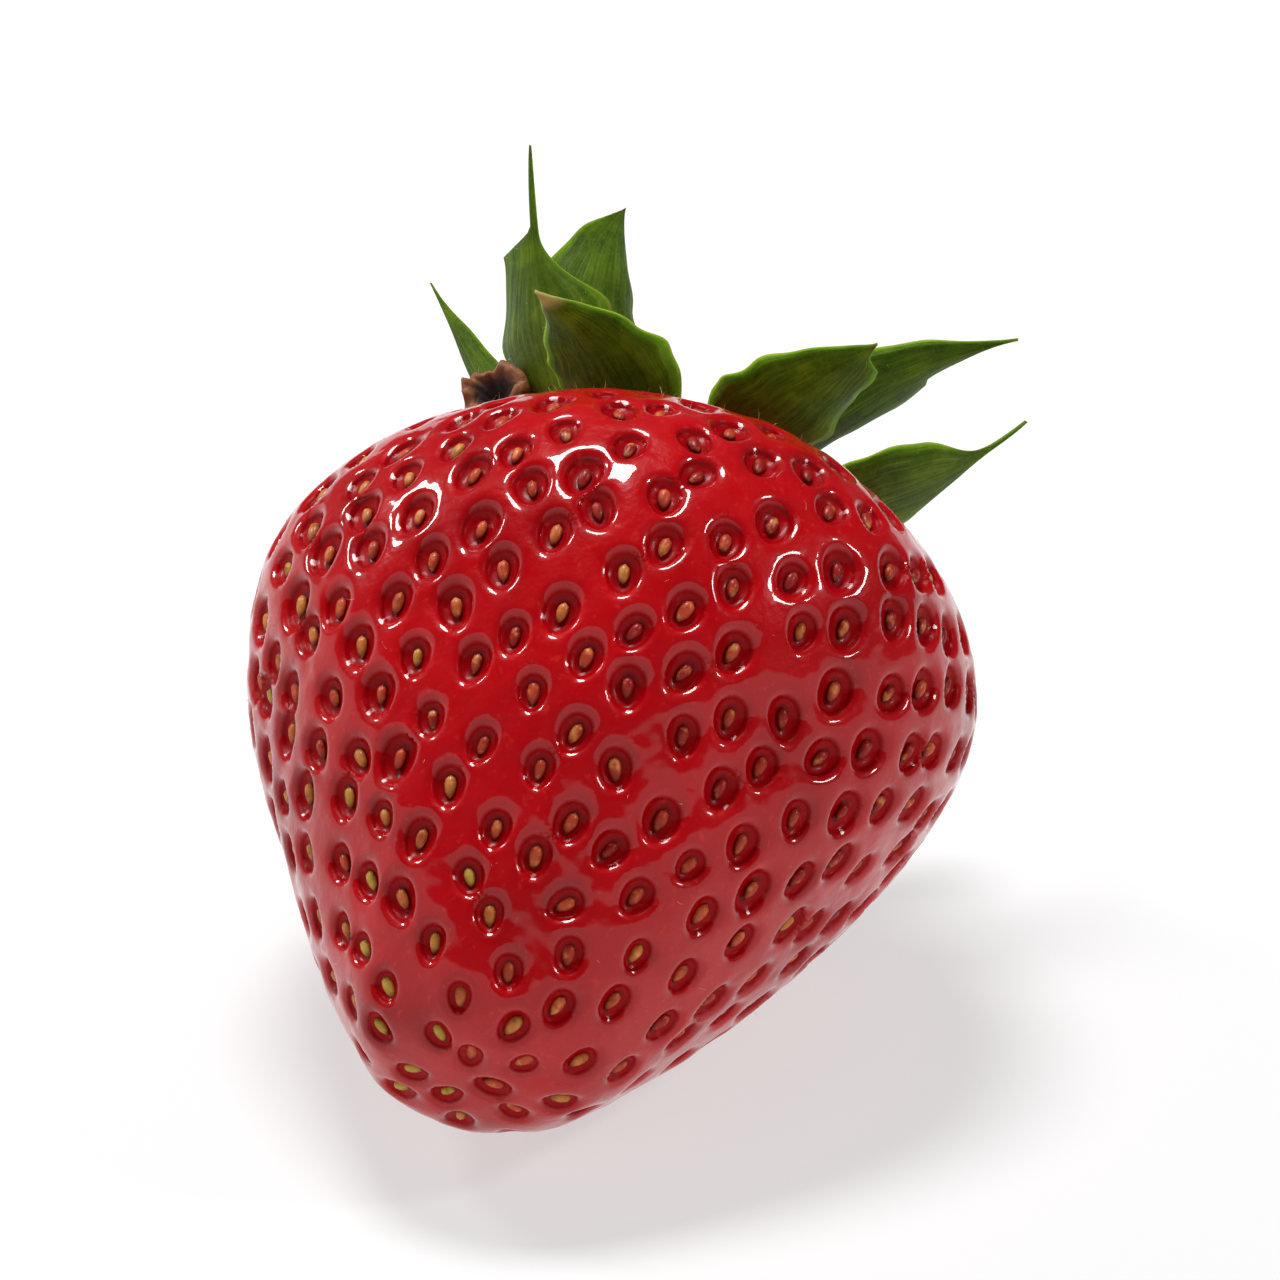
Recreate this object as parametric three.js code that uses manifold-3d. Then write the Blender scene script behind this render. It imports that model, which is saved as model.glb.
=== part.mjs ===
// A ripe strawberry, as picked, lying on its side with its green calyx and its dried stalk end.
// Millimetres, +Z up. The tip points towards -Y and the calyx towards +Y.
// The strawberry is modelled upright in its own frame, with +Z from the tip to the calyx, X across
// its width and Y through its thickness, and a nested group then lays it down on the surface Z = 0.

import * as THREE from 'three';
import { mergeVertices } from 'three/addons/utils/BufferGeometryUtils.js';
import Module from 'manifold-3d';

const wasm = await Module();
wasm.setup();

// ---- Driving dimensions ----

const berry = {
  length: 46, // tip to shoulder, of the control outline
  width: 43.4,
  thickness: 40,
  noseShift: -2.8, // sideways lean of the tip
  noseLift: 1.2, // how far the tip is drawn towards the upper side
  hubShift: -0.9, // sideways lean of the calyx end
  flatDepth: 0.4, // how far the soft flesh is pressed flat where it rests
};

const collar = { radius: 6.6, thickness: 1.4, funnelDepth: 0.7 };

const stalk = {
  radius: 1.3,
  overhang: 3.8, // how far its end stands out past the collar
  lift: 11, // degrees of its end over the shoulder's slope
  endFlare: 1.4,
  pitDepth: 1.6,
  pitShare: 0.62,
};

const blade = { thickness: 0.55, rootWidth: 3.0 };

// The side tooth of a toothed leaf: where it starts and ends along the blade, and how far it
// stands out in millimetres.
const tooth = { start: 0.3, end: 0.62, size: 1.6, sharpness: 0.2 };

const gap = 0.35; // between pieces that touch

const lying = {
  pitch: THREE.MathUtils.degToRad(24), // the calyx end is higher than the tip
  turn: THREE.MathUtils.degToRad(12), // the tip is turned a little to the left
};

// Half the outline of the berry as a smooth curve's control points, from the tip to the calyx:
// share of half the width, share of the length.
const OUTLINE = [
  [0, 0], [0.28, 0], [0.41, 0.09], [0.61, 0.235], [0.83, 0.42],
  [1.01, 0.62], [0.98, 0.80], [0.70, 0.94], [0.37, 0.975], [0, 0.92],
];

// Slow waves around the berry: waves in a turn, share of the radius, angle of a crest in radians.
const LOBES = [[2, 0.008, 0.6], [3, 0.012, 2.1], [5, 0.006, 0.9]];

// One leaf of the calyx. around: its place around the axis in degrees, anticlockwise as seen from
// the tip, where 0 is +X and 90 is the upper side. length and width in millimetres. belly: where it
// is widest, as a share of its length. rise: angle over the shoulder's slope at the root and at
// the tip. sway: sideways bend by the tip. twist: turn about its own midrib. cup: how far the
// edges lift towards the stalk, as a share of half the width. Angles are in degrees.
function calyxLeaf(name, around, length, width, belly, rise, sway, twist, cup, extra = {}) {
  return { name, around, length, width, belly, rise, sway, twist, cup, ...extra };
}

// In order around the stalk. Sepals grow from the lower part of the collar's rim and bracts from
// its upper part. A leaf whose seat is 'top' stands on the collar instead. fine says how far the
// tip is drawn out, and a tooth is a side tooth on the edge that its sign gives.
const LEAVES = [
  calyxLeaf('sepal_1', 2.5, 17.3, 6.9, 0.42, [5, 55], 9, 1, 0.15, { fine: 0.47 }),
  calyxLeaf('bract_1', 19, 18, 5.6, 0.43, [53, 4], 6, 4, 0.3, { fine: 0.37 }),
  calyxLeaf('sepal_2', 49, 13.7, 7.8, 0.42, [4, 11], 12, 5, 0.2),
  calyxLeaf('sepal_3', 98, 13.2, 8, 0.33, [10, -11], -28, -2, 0.25),
  calyxLeaf('bract_2', 123, 16.7, 6.5, 0.47, [46, 107], 12, 61, 0.25, { seat: 'top' }),
  calyxLeaf('sepal_4', 129.5, 18.7, 7.6, 0.41, [46, 64], 15, -1, 0.35, { fine: 0.67, tooth: -1 }),
  calyxLeaf('bract_3', 201, 22.1, 3.1, 0.4, [54, 53], 15, 47, 0.35, { fine: 0.25 }),
  calyxLeaf('sepal_5', 210, 15.5, 7.8, 0.33, [18, 36], 6, -8, 0.3, { fine: 0.2 }),
  calyxLeaf('bract_4', 240, 14.5, 4.8, 0.42, [34, 16], -10, 12, 0.3, { fine: 0.25 }),
  calyxLeaf('sepal_6', 268, 15, 8.2, 0.33, [10, 34], 8, 6, 0.3, { fine: 0.2 }),
  calyxLeaf('bract_5', 296, 15.5, 4.8, 0.42, [34, 26], 6, -14, 0.3, { fine: 0.3 }),
  calyxLeaf('sepal_7', 322, 14, 7.4, 0.33, [8, 26], -8, 8, 0.3, { fine: 0.15 }),
];

// ---- Surfaces ----

// A closed skin of rings between two end points. pointAt(s, angle) gives a point for s from 0 to 1
// along the piece and an angle around it, and all angles give the same point at s = 0 and s = 1.
function loft(rings, segments, pointAt) {
  const positions = [];
  const index = [];
  positions.push(...pointAt(0, 0));
  for (let ring = 1; ring < rings; ring++) {
    for (let segment = 0; segment < segments; segment++) {
      positions.push(...pointAt(ring / rings, (2 * Math.PI * segment) / segments));
    }
  }
  positions.push(...pointAt(1, 0));
  const last = positions.length / 3 - 1;
  const vertex = (ring, segment) => 1 + (ring - 1) * segments + (segment % segments);
  for (let segment = 0; segment < segments; segment++) {
    index.push(0, vertex(1, segment + 1), vertex(1, segment));
    for (let ring = 1; ring < rings - 1; ring++) {
      const a = vertex(ring, segment);
      const b = vertex(ring, segment + 1);
      const c = vertex(ring + 1, segment + 1);
      const d = vertex(ring + 1, segment);
      index.push(a, b, c, a, c, d);
    }
    index.push(last, vertex(rings - 1, segment), vertex(rings - 1, segment + 1));
  }
  const geometry = new THREE.BufferGeometry();
  geometry.setAttribute('position', new THREE.Float32BufferAttribute(positions, 3));
  geometry.setIndex(index);
  geometry.computeVertexNormals();
  return geometry;
}

// A uniform cubic B-spline through the outline, mirrored over the axis at both ends.
function outlineAt(t) {
  const spans = OUTLINE.length - 1;
  const span = Math.min(Math.floor(t * spans), spans - 1);
  const s = t * spans - span;
  const weights = [
    (1 - s) ** 3 / 6,
    (3 * s ** 3 - 6 * s ** 2 + 4) / 6,
    (-3 * s ** 3 + 3 * s ** 2 + 3 * s + 1) / 6,
    s ** 3 / 6,
  ];
  let radius = 0;
  let height = 0;
  for (let k = 0; k < 4; k++) {
    const i = span + k - 1;
    const mirrored = i < 0 ? 1 : i > spans ? spans - 1 : i;
    const side = mirrored === i ? 1 : -1;
    radius += weights[k] * side * OUTLINE[mirrored][0] * (berry.width / 2);
    height += weights[k] * OUTLINE[mirrored][1] * berry.length;
  }
  return { radius, height };
}

function berryPoint(t, angle) {
  const { radius, height } = outlineAt(t);
  let swell = 1;
  for (const [waves, share, crest] of LOBES) {
    swell += share * Math.cos(waves * angle + crest) * Math.sin(Math.PI * t);
  }
  const up = height / berry.length;
  const noseLean = berry.noseShift * (1 - up) ** 2;
  const noseRise = berry.noseLift * (1 - up) ** 2;
  const hubLean = berry.hubShift * up ** 4;
  const x = radius * swell * Math.cos(angle) + noseLean + hubLean;
  const y = radius * swell * Math.sin(angle) * (berry.thickness / berry.width) - noseRise;
  return [x, y, height];
}

// Where the outline comes back to a given radius, on its way from the shoulder to the calyx.
function shoulderAt(radius) {
  let outer = 0.7;
  let inner = 1;
  for (let step = 0; step < 40; step++) {
    const middle = (outer + inner) / 2;
    if (outlineAt(middle).radius > radius) outer = middle;
    else inner = middle;
  }
  return inner;
}

// The highest ring of the shoulder, which the calyx leaves have to clear.
function shoulderCrest() {
  let crest = outlineAt(1);
  for (let t = 0.7; t < 1; t += 0.005) {
    if (outlineAt(t).height > crest.height) crest = outlineAt(t);
  }
  return crest;
}

// ---- Berry ----

function asSolid(geometry) {
  const bare = geometry.clone();
  bare.deleteAttribute('normal');
  bare.deleteAttribute('uv');
  const merged = mergeVertices(bare);
  return new wasm.Manifold(new wasm.Mesh({
    numProp: 3,
    vertProperties: new Float32Array(merged.attributes.position.array),
    triVerts: new Uint32Array(merged.index.array),
  }));
}

function asGeometry(solid) {
  const mesh = solid.getMesh();
  const geometry = new THREE.BufferGeometry();
  geometry.setAttribute('position', new THREE.BufferAttribute(mesh.vertProperties, 3));
  geometry.setIndex(new THREE.BufferAttribute(mesh.triVerts, 1));
  geometry.computeVertexNormals();
  return geometry;
}

// The turn that lays the upright strawberry down.
const layDown = new THREE.Quaternion()
  .setFromAxisAngle(new THREE.Vector3(0, 0, 1), -lying.turn)
  .multiply(new THREE.Quaternion().setFromAxisAngle(
    new THREE.Vector3(1, 0, 0), -(Math.PI / 2 - lying.pitch)));

const roundBerry = loft(32, 52, berryPoint);

function lowestPoint(geometry, turn) {
  const point = new THREE.Vector3();
  let lowest = Infinity;
  for (let i = 0; i < geometry.attributes.position.count; i++) {
    point.fromBufferAttribute(geometry.attributes.position, i).applyQuaternion(turn);
    lowest = Math.min(lowest, point.z);
  }
  return lowest;
}

// Height of the upright frame's origin over the surface once the berry lies on its flat spot.
const restHeight = -lowestPoint(roundBerry, layDown) - berry.flatDepth;

// The berry without the thin cap that its weight presses flat.
function restingBerry() {
  const blockSize = 4 * berry.length;
  const below = new THREE.BoxGeometry(blockSize, blockSize, blockSize);
  below.translate(0, 0, -blockSize / 2 - restHeight);
  below.applyQuaternion(layDown.clone().invert());
  return asGeometry(asSolid(roundBerry).subtract(asSolid(below)));
}

// ---- Calyx ----

// A shallow dish on the top of the berry: its underside follows the flesh, and its top sinks
// towards the stalk.
function collarPoint(s, angle) {
  const under = s <= 0.5;
  const outward = under ? s / 0.5 : (1 - s) / 0.5;
  const radius = collar.radius * outward;
  const [x, y, height] = berryPoint(shoulderAt(radius), angle);
  const roundedEdge = Math.sqrt(1 - outward ** 4);
  const sunk = collar.funnelDepth * (1 - outward ** 2);
  const middle = height + gap + collar.thickness / 2;
  const side = under ? -1 : 1;
  const top = under ? 0 : sunk;
  return [x, y, middle + side * (collar.thickness / 2) * roundedEdge - top];
}

const hub = new THREE.Vector3(...berryPoint(1, 0));
const crest = shoulderCrest();
const rim = outlineAt(shoulderAt(collar.radius));
const shoulderSlope = Math.atan2(crest.height - rim.height, crest.radius - rim.radius);

// How far the collar reaches from the hub in a direction.
function collarReachAt(angle) {
  const rimPoint = new THREE.Vector3(...collarPoint(0.5, angle));
  return Math.hypot(rimPoint.x - hub.x, rimPoint.y - hub.y);
}

// Where a leaf's midrib starts, as a point in the upright frame: just clear of the collar.
function leafSeat(leaf, radial) {
  const collarReach = collarReachAt(Math.atan2(radial.y, radial.x));
  const spacing = blade.thickness + gap;
  const onTop = leaf.seat === 'top';
  const reach = onTop ? collarReach - spacing : collarReach + gap;
  const tier = leaf.name.startsWith('bract') ? 1 : 0;
  const height = onTop
    ? outlineAt(shoulderAt(reach)).height + gap + collar.thickness + gap
    : rim.height + gap + blade.thickness / 2 + tier * spacing;
  return new THREE.Vector3(hub.x, hub.y, height).addScaledVector(radial, reach);
}

// The midrib of a leaf: points with their directions, found by walking along it.
function midrib(leaf, steps) {
  const around = -THREE.MathUtils.degToRad(leaf.around);
  const radial = new THREE.Vector3(Math.cos(around), Math.sin(around), 0);
  const tangential = new THREE.Vector3(-Math.sin(around), Math.cos(around), 0);
  const axis = new THREE.Vector3(0, 0, 1);
  const point = leafSeat(leaf, radial);
  const stations = [];
  for (let step = 0; step <= steps; step++) {
    const s = step / steps;
    const rise = shoulderSlope + THREE.MathUtils.degToRad(
      THREE.MathUtils.lerp(leaf.rise[0], leaf.rise[1], s));
    const sway = THREE.MathUtils.degToRad(leaf.sway * s);
    const twist = THREE.MathUtils.degToRad(leaf.twist * Math.min(1, 2 * s));
    const forward = radial.clone().multiplyScalar(Math.cos(sway))
      .addScaledVector(tangential, Math.sin(sway));
    const across = tangential.clone().multiplyScalar(Math.cos(sway))
      .addScaledVector(radial, -Math.sin(sway));
    const along = forward.multiplyScalar(Math.cos(rise)).addScaledVector(axis, Math.sin(rise));
    const face = along.clone().cross(across);
    const turnedAcross = across.multiplyScalar(Math.cos(twist)).addScaledVector(face, Math.sin(twist));
    const turnedFace = along.clone().cross(turnedAcross);
    stations.push({ point: point.clone(), across: turnedAcross, face: turnedFace });
    point.addScaledVector(along, leaf.length / steps);
  }
  return stations;
}

// Half the width of a leaf: narrow at its root, widest at its belly, drawn out to a thin tip. A
// toothed leaf has one side tooth, on the side that the sign of leaf.tooth gives.
function halfWidth(leaf, s, side) {
  const tipPower = 1.2 + 1.6 * (leaf.fine ?? 0);
  const rootPower = (tipPower * leaf.belly) / (1 - leaf.belly);
  const body = (s / leaf.belly) ** rootPower * ((1 - s) / (1 - leaf.belly)) ** tipPower;
  const root = (blade.rootWidth / leaf.width) * (1 - s) ** 3;
  const half = (leaf.width / 2) * Math.hypot(body, root);
  const toothed = leaf.tooth !== undefined && side * leaf.tooth > 0;
  return toothed ? half + sideTooth(s) : half;
}

// Extra width of a side tooth: it grows slowly out of the edge and ends sharply.
function sideTooth(s) {
  if (s < tooth.start || s > tooth.end) return 0;
  const share = (s - tooth.start) / (tooth.end - tooth.start);
  return tooth.size * share * Math.min(1, (1 - share) / tooth.sharpness);
}

function leafGeometry(leaf) {
  const rings = 12;
  const stations = midrib(leaf, rings);
  const point = new THREE.Vector3();
  return loft(rings, 10, (s, angle) => {
    const station = stations[Math.round(s * rings)];
    const isEnd = s === 0 || s === 1;
    const u = Math.cos(angle);
    const half = isEnd ? 0 : halfWidth(leaf, s, u);
    const thick = isEnd ? 0 : (blade.thickness / 2) * (1 - 0.4 * s);
    point.copy(station.point)
      .addScaledVector(station.across, half * u)
      .addScaledVector(station.face, half * leaf.cup * u * u + thick * Math.sin(angle));
    return point.toArray();
  });
}

// ---- Stalk ----

// The dried stalk bends over the collar's rim between two leaves, and its broken end is flared and
// hollow. Its route: millimetres outward from the hub, angle over the shoulder's slope as seen
// from the collar's middle, and the place around. Angles are in degrees.
function stalkRoute() {
  const overRim = 176;
  const atEnd = 148;
  const rimReach = collarReachAt(-THREE.MathUtils.degToRad(overRim)) + stalk.radius;
  const endReach = collarReachAt(-THREE.MathUtils.degToRad(atEnd)) + stalk.radius;
  return [
    [0, 0, 172],
    [0.8, stalk.lift + 51, 172],
    [rimReach + 0.5, stalk.lift + 3, overRim],
    [endReach + stalk.overhang, stalk.lift, atEnd],
  ];
}

const stalkBase = hub.z + gap + collar.thickness - collar.funnelDepth + gap;

function stalkCurve() {
  const points = stalkRoute().map(([outward, lift, degrees]) => {
    const around = -THREE.MathUtils.degToRad(degrees);
    const upward = outward * Math.tan(shoulderSlope + THREE.MathUtils.degToRad(lift));
    return new THREE.Vector3(
      hub.x + outward * Math.cos(around),
      hub.y + outward * Math.sin(around),
      stalkBase + upward);
  });
  return new THREE.CatmullRomCurve3(points);
}

function stalkPoint(curve, s, angle) {
  // The profile runs up the outside, over the broken rim and down into the pit.
  const outsideShare = 0.7;
  const rimShare = 0.8;
  let along;
  let radius;
  if (s <= outsideShare) {
    along = s / outsideShare;
    radius = stalk.radius * (1 + (stalk.endFlare - 1) * along ** 3);
  } else if (s <= rimShare) {
    along = 1;
    radius = stalk.radius * stalk.endFlare * stalk.pitShare;
  } else {
    const down = (s - rimShare) / (1 - rimShare);
    along = 1 - (stalk.pitDepth / curve.getLength()) * Math.sqrt(down);
    radius = stalk.radius * stalk.endFlare * stalk.pitShare * (1 - down);
  }
  if (s === 0) radius = 0;
  const centre = curve.getPointAt(along);
  const tangent = curve.getTangentAt(along);
  const level = new THREE.Vector3(0, 0, 1).cross(curve.getPointAt(0.6));
  const front = tangent.clone().cross(level).normalize();
  const side = front.clone().cross(tangent);
  return centre.addScaledVector(side, radius * Math.cos(angle))
    .addScaledVector(front, radius * Math.sin(angle))
    .toArray();
}

function stalkGeometry() {
  const curve = stalkCurve();
  return loft(20, 12, (s, angle) => stalkPoint(curve, s, angle));
}

// ---- Materials and assembly ----

const skin = new THREE.MeshStandardMaterial({ color: '#a0141b', roughness: 0.25, metalness: 0 });
const freshGreen = new THREE.MeshStandardMaterial({ color: '#56701f', roughness: 0.6, metalness: 0 });
const paleGreen = new THREE.MeshStandardMaterial({ color: '#8a9a4a', roughness: 0.7, metalness: 0 });
const driedBrown = new THREE.MeshStandardMaterial({ color: '#6a3a1c', roughness: 0.85, metalness: 0 });

const upright = new THREE.Group();

function addPiece(name, geometry, material) {
  const mesh = new THREE.Mesh(geometry, material);
  mesh.name = name;
  upright.add(mesh);
}

addPiece('berry', restingBerry(), skin);
addPiece('calyx_collar', loft(12, 28, collarPoint), paleGreen);
for (const leaf of LEAVES) {
  addPiece(leaf.name, leafGeometry(leaf), freshGreen);
}
addPiece('stalk', stalkGeometry(), driedBrown);

upright.quaternion.copy(layDown);
upright.position.z = restHeight;

// The origin lies on the surface, under the middle of the whole strawberry.
const strawberry = new THREE.Group();
strawberry.add(upright);
strawberry.updateMatrixWorld(true);
const middle = new THREE.Box3().setFromObject(strawberry, true).getCenter(new THREE.Vector3());
upright.position.x -= middle.x;
upright.position.y -= middle.y;

export default strawberry;
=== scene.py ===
# %% [markdown]
# # A ripe strawberry
#
# This lesson dresses a plain engineering model of a strawberry as real fruit: a glossy red skin
# with a seed in every pit, a crown of green leaves and a dried stalk. The engineering model is
# loaded first and never changes, so every piece below is built around it, in metres.

# %% Load the frame
import math

import bpy
import numpy as np
from mathutils import Matrix, Vector


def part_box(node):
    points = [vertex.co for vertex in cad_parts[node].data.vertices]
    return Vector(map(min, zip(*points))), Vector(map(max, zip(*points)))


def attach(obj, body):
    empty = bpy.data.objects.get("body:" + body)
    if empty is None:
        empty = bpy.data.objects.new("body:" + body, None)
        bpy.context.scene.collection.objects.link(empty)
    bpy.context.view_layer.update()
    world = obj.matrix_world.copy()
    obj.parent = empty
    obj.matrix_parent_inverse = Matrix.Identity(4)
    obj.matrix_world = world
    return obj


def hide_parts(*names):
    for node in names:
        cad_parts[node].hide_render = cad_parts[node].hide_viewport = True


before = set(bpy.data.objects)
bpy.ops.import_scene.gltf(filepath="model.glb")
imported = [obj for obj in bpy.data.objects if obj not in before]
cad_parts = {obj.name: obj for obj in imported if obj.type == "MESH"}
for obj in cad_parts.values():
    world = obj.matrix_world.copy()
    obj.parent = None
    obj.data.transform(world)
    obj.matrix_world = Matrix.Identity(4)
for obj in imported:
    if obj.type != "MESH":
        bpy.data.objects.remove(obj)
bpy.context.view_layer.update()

print("nodes:", sorted(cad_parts))

# %% [markdown]
# ## Where things are
#
# A strawberry grows hanging, so its shape is easiest to describe upright: Z runs from the tip to
# the calyx. The same two turns that lay the engineering model on its side lay our pieces down
# too. The berry's box in the frame then tells us how far to move them, so nothing is fitted by
# eye.

# %% The upright shape of the berry, in millimetres
MM = 0.001
BERRY_LENGTH, BERRY_WIDTH, BERRY_THICKNESS = 46.0, 43.4, 40.0
NOSE_SHIFT, NOSE_LIFT, HUB_SHIFT = -2.8, 1.2, -0.9
FLAT_DEPTH = 0.4  # how far the soft flesh is pressed flat where it rests
LYING_PITCH, LYING_TURN = math.radians(24), math.radians(12)

# Control points of half the outline, tip to calyx: share of half the width, share of the length.
OUTLINE = np.array([
    [0, 0], [0.28, 0], [0.41, 0.09], [0.61, 0.235], [0.83, 0.42],
    [1.01, 0.62], [0.98, 0.80], [0.70, 0.94], [0.37, 0.975], [0, 0.92]])
# Slow waves around the berry: waves in a turn, share of the radius, angle of a crest.
LOBES = [(2, 0.008, 0.6), (3, 0.012, 2.1), (5, 0.006, 0.9)]


def outline_at(t):
    """Radius and height of the outline for t from 0 at the tip to 1 at the calyx, as arrays."""
    t = np.atleast_1d(np.asarray(t, float))
    spans = len(OUTLINE) - 1
    span = np.minimum((t * spans).astype(int), spans - 1)
    s = t * spans - span
    weights = [(1 - s) ** 3 / 6, (3 * s ** 3 - 6 * s ** 2 + 4) / 6,
               (-3 * s ** 3 + 3 * s ** 2 + 3 * s + 1) / 6, s ** 3 / 6]
    radius = np.zeros_like(s)
    height = np.zeros_like(s)
    for k, weight in enumerate(weights):
        i = span + k - 1
        mirrored = np.where(i < 0, 1, np.where(i > spans, spans - 1, i))
        side = np.where(mirrored == i, 1.0, -1.0)
        radius += weight * side * OUTLINE[mirrored, 0] * BERRY_WIDTH / 2
        height += weight * OUTLINE[mirrored, 1] * BERRY_LENGTH
    return radius, height


def berry_points(t, angle):
    """Points of the berry's surface in the upright frame, in millimetres."""
    radius, height = outline_at(t)
    angle = np.broadcast_to(angle, radius.shape)
    swell = 1 + sum(share * np.cos(waves * angle + crest) * np.sin(np.pi * np.atleast_1d(t))
                    for waves, share, crest in LOBES)
    up = height / BERRY_LENGTH
    x = radius * swell * np.cos(angle) + NOSE_SHIFT * (1 - up) ** 2 + HUB_SHIFT * up ** 4
    y = (radius * swell * np.sin(angle) * BERRY_THICKNESS / BERRY_WIDTH
         - NOSE_LIFT * (1 - up) ** 2)
    return np.stack([x, y, height], -1)


# %% Lay the upright shape down on the surface
LAY_DOWN = np.array(Matrix.Rotation(-LYING_TURN, 3, "Z")
                    @ Matrix.Rotation(-(math.pi / 2 - LYING_PITCH), 3, "X"))


def find_place():
    """The move from the laid-down shape to the engineering model's berry, in millimetres."""
    rings, segments = 32, 52
    t, turn = np.meshgrid(np.arange(0, rings + 1) / rings,
                          2 * np.pi * np.arange(segments) / segments, indexing="ij")
    laid = berry_points(t.ravel(), turn.ravel()) @ LAY_DOWN.T
    low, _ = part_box("berry")
    return np.array([low.x / MM - laid[:, 0].min(), low.y / MM - laid[:, 1].min(),
                     -laid[:, 2].min() - FLAT_DEPTH])


PLACE = find_place()


def to_world(upright):
    """Upright millimetres to the frame's metres."""
    return (np.asarray(upright) @ LAY_DOWN.T + PLACE) * MM


def turn_to_world(direction):
    return np.asarray(direction) @ LAY_DOWN.T


print("the berry was moved by", PLACE.round(2), "mm after it was laid down")


# %% [markdown]
# ## Tools for the pieces
#
# A few small helpers make the rest of the lesson shorter. Some make a mesh object from arrays,
# one class writes node trees as code, and `grow` turns what a Geometry Nodes modifier made into
# a plain mesh. Geometry Nodes is Blender's way to repeat a small shape by a rule. We use it for
# the pits, the seeds and the hairs, because a strawberry has hundreds.

# %% Helpers for meshes
def place_object(name, data):
    placed = bpy.data.objects.new(name, data)
    bpy.context.scene.collection.objects.link(placed)
    return placed


def make_object(name, points, faces):
    mesh = bpy.data.meshes.new(name)
    mesh.from_pydata([tuple(p) for p in points], [], [tuple(f) for f in faces])
    mesh.validate()
    mesh.shade_smooth()
    return place_object(name, mesh)


def tube_faces(rings, around, start=0):
    """Quads between neighbouring rings of points, where the first point has index start."""
    at = lambda ring, k: start + ring * around + k % around
    return [(at(r, k), at(r, k + 1), at(r + 1, k + 1), at(r + 1, k))
            for r in range(rings - 1) for k in range(around)]


def closed_tube_faces(rings, around, first, last, start=0):
    """A tube whose two ends close on the points with the indices first and last."""
    top = start + (rings - 1) * around
    return ([(first, start + (k + 1) % around, start + k) for k in range(around)]
            + tube_faces(rings, around, start)
            + [(last, top + k, top + (k + 1) % around) for k in range(around)])


def add_values(piece, name, values):
    """One number or vector for each vertex, which a material or a node tree can read."""
    values = np.asarray(values, np.float32)
    kind = "FLOAT_VECTOR" if values.ndim == 2 else "FLOAT"
    attribute = piece.data.attributes.new(name, kind, "POINT")
    attribute.data.foreach_set("vector" if values.ndim == 2 else "value", values.ravel())


def bend_range(value, low, high):
    """0 below low, 1 above high and a smooth step between."""
    share = np.clip((np.asarray(value, float) - low) / (high - low), 0, 1)
    return share * share * (3 - 2 * share)


# %% Helpers for Geometry Nodes
class Nodes:
    """A node tree that is written as code. Each call adds a node and its links."""

    def __init__(self, tree):
        self.tree = tree

    def feed(self, given, socket):
        if isinstance(given, bpy.types.NodeSocket):
            self.tree.links.new(given, socket)
        else:
            socket.default_value = given

    def node(self, kind, inputs=None, **settings):
        made = self.tree.nodes.new(kind)
        for key, setting in settings.items():
            setattr(made, key, setting)
        for key, given in (inputs or {}).items():
            self.feed(given, made.inputs[key])
        return made

    def math(self, operation, a, b=0.0):
        return self.node("ShaderNodeMath", {0: a, 1: b}, operation=operation).outputs[0]

    def vector_math(self, operation, a, b=(0, 0, 0)):
        made = self.node("ShaderNodeVectorMath", {0: a, 1: b}, operation=operation)
        return made.outputs["Value" if operation in ("DOT_PRODUCT", "LENGTH") else "Vector"]


class Tree(Nodes):
    """A Geometry Nodes tree. Its named inputs are given as the kinds of their sockets."""

    def __init__(self, name, **inputs):
        super().__init__(bpy.data.node_groups.new(name, "GeometryNodeTree"))
        self.sockets = {}
        for label, kind in {"Geometry": "Geometry", **inputs}.items():
            label = label.replace("_", " ")
            self.sockets[label] = self.tree.interface.new_socket(
                label, in_out="INPUT", socket_type="NodeSocket" + kind).identifier
        self.tree.interface.new_socket("Geometry", in_out="OUTPUT",
                                       socket_type="NodeSocketGeometry")
        self.entry = self.tree.nodes.new("NodeGroupInput")
        self.exit = self.tree.nodes.new("NodeGroupOutput")

    def value(self, name):
        return self.entry.outputs[name]

    def scaled(self, vector, factor):
        return self.node("ShaderNodeVectorMath", {0: vector, "Scale": factor},
                         operation="SCALE").outputs["Vector"]

    def shape_of(self, name):
        """The geometry of the object given as an input."""
        return self.node("GeometryNodeObjectInfo", {"Object": self.value(name)},
                         transform_space="ORIGINAL").outputs["Geometry"]

    def read(self, name, kind="FLOAT"):
        made = self.node("GeometryNodeInputNamedAttribute", {"Name": name}, data_type=kind)
        return made.outputs["Attribute"]

    def close(self, geometry):
        self.feed(geometry, self.exit.inputs["Geometry"])

    def close_copies(self, instances):
        """Turns the copies into one real mesh with the tree's material."""
        real = self.node("GeometryNodeRealizeInstances", {"Geometry": instances})
        self.close(self.node("GeometryNodeSetMaterial",
                             {"Geometry": real.outputs["Geometry"],
                              "Material": self.value("Material")}).outputs["Geometry"])


def grow(base, rule, name, **inputs):
    """Runs a rule, which is a Tree, on a base object and returns a plain mesh object."""
    modifier = base.modifiers.new(rule.tree.name, "NODES")
    modifier.node_group = rule.tree
    for label, given in inputs.items():
        modifier[rule.sockets[label.replace("_", " ")]] = given
    bpy.context.view_layer.update()
    evaluated = base.evaluated_get(bpy.context.evaluated_depsgraph_get())
    mesh = bpy.data.meshes.new_from_object(evaluated, preserve_all_data_layers=True,
                                           depsgraph=bpy.context.evaluated_depsgraph_get())
    base.modifiers.remove(modifier)
    mesh.name = name
    print(name, "has", len(mesh.polygons), "faces")
    return place_object(name, mesh)


def discard(*objects):
    for thing in objects:
        bpy.data.meshes.remove(thing.data)


# %% [markdown]
# ## Effects that several finishes share
#
# Real skins are never one flat colour, so each finish starts from soft blotches that shift a
# colour. They are one shader node group, and each material sets its own strengths.

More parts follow.
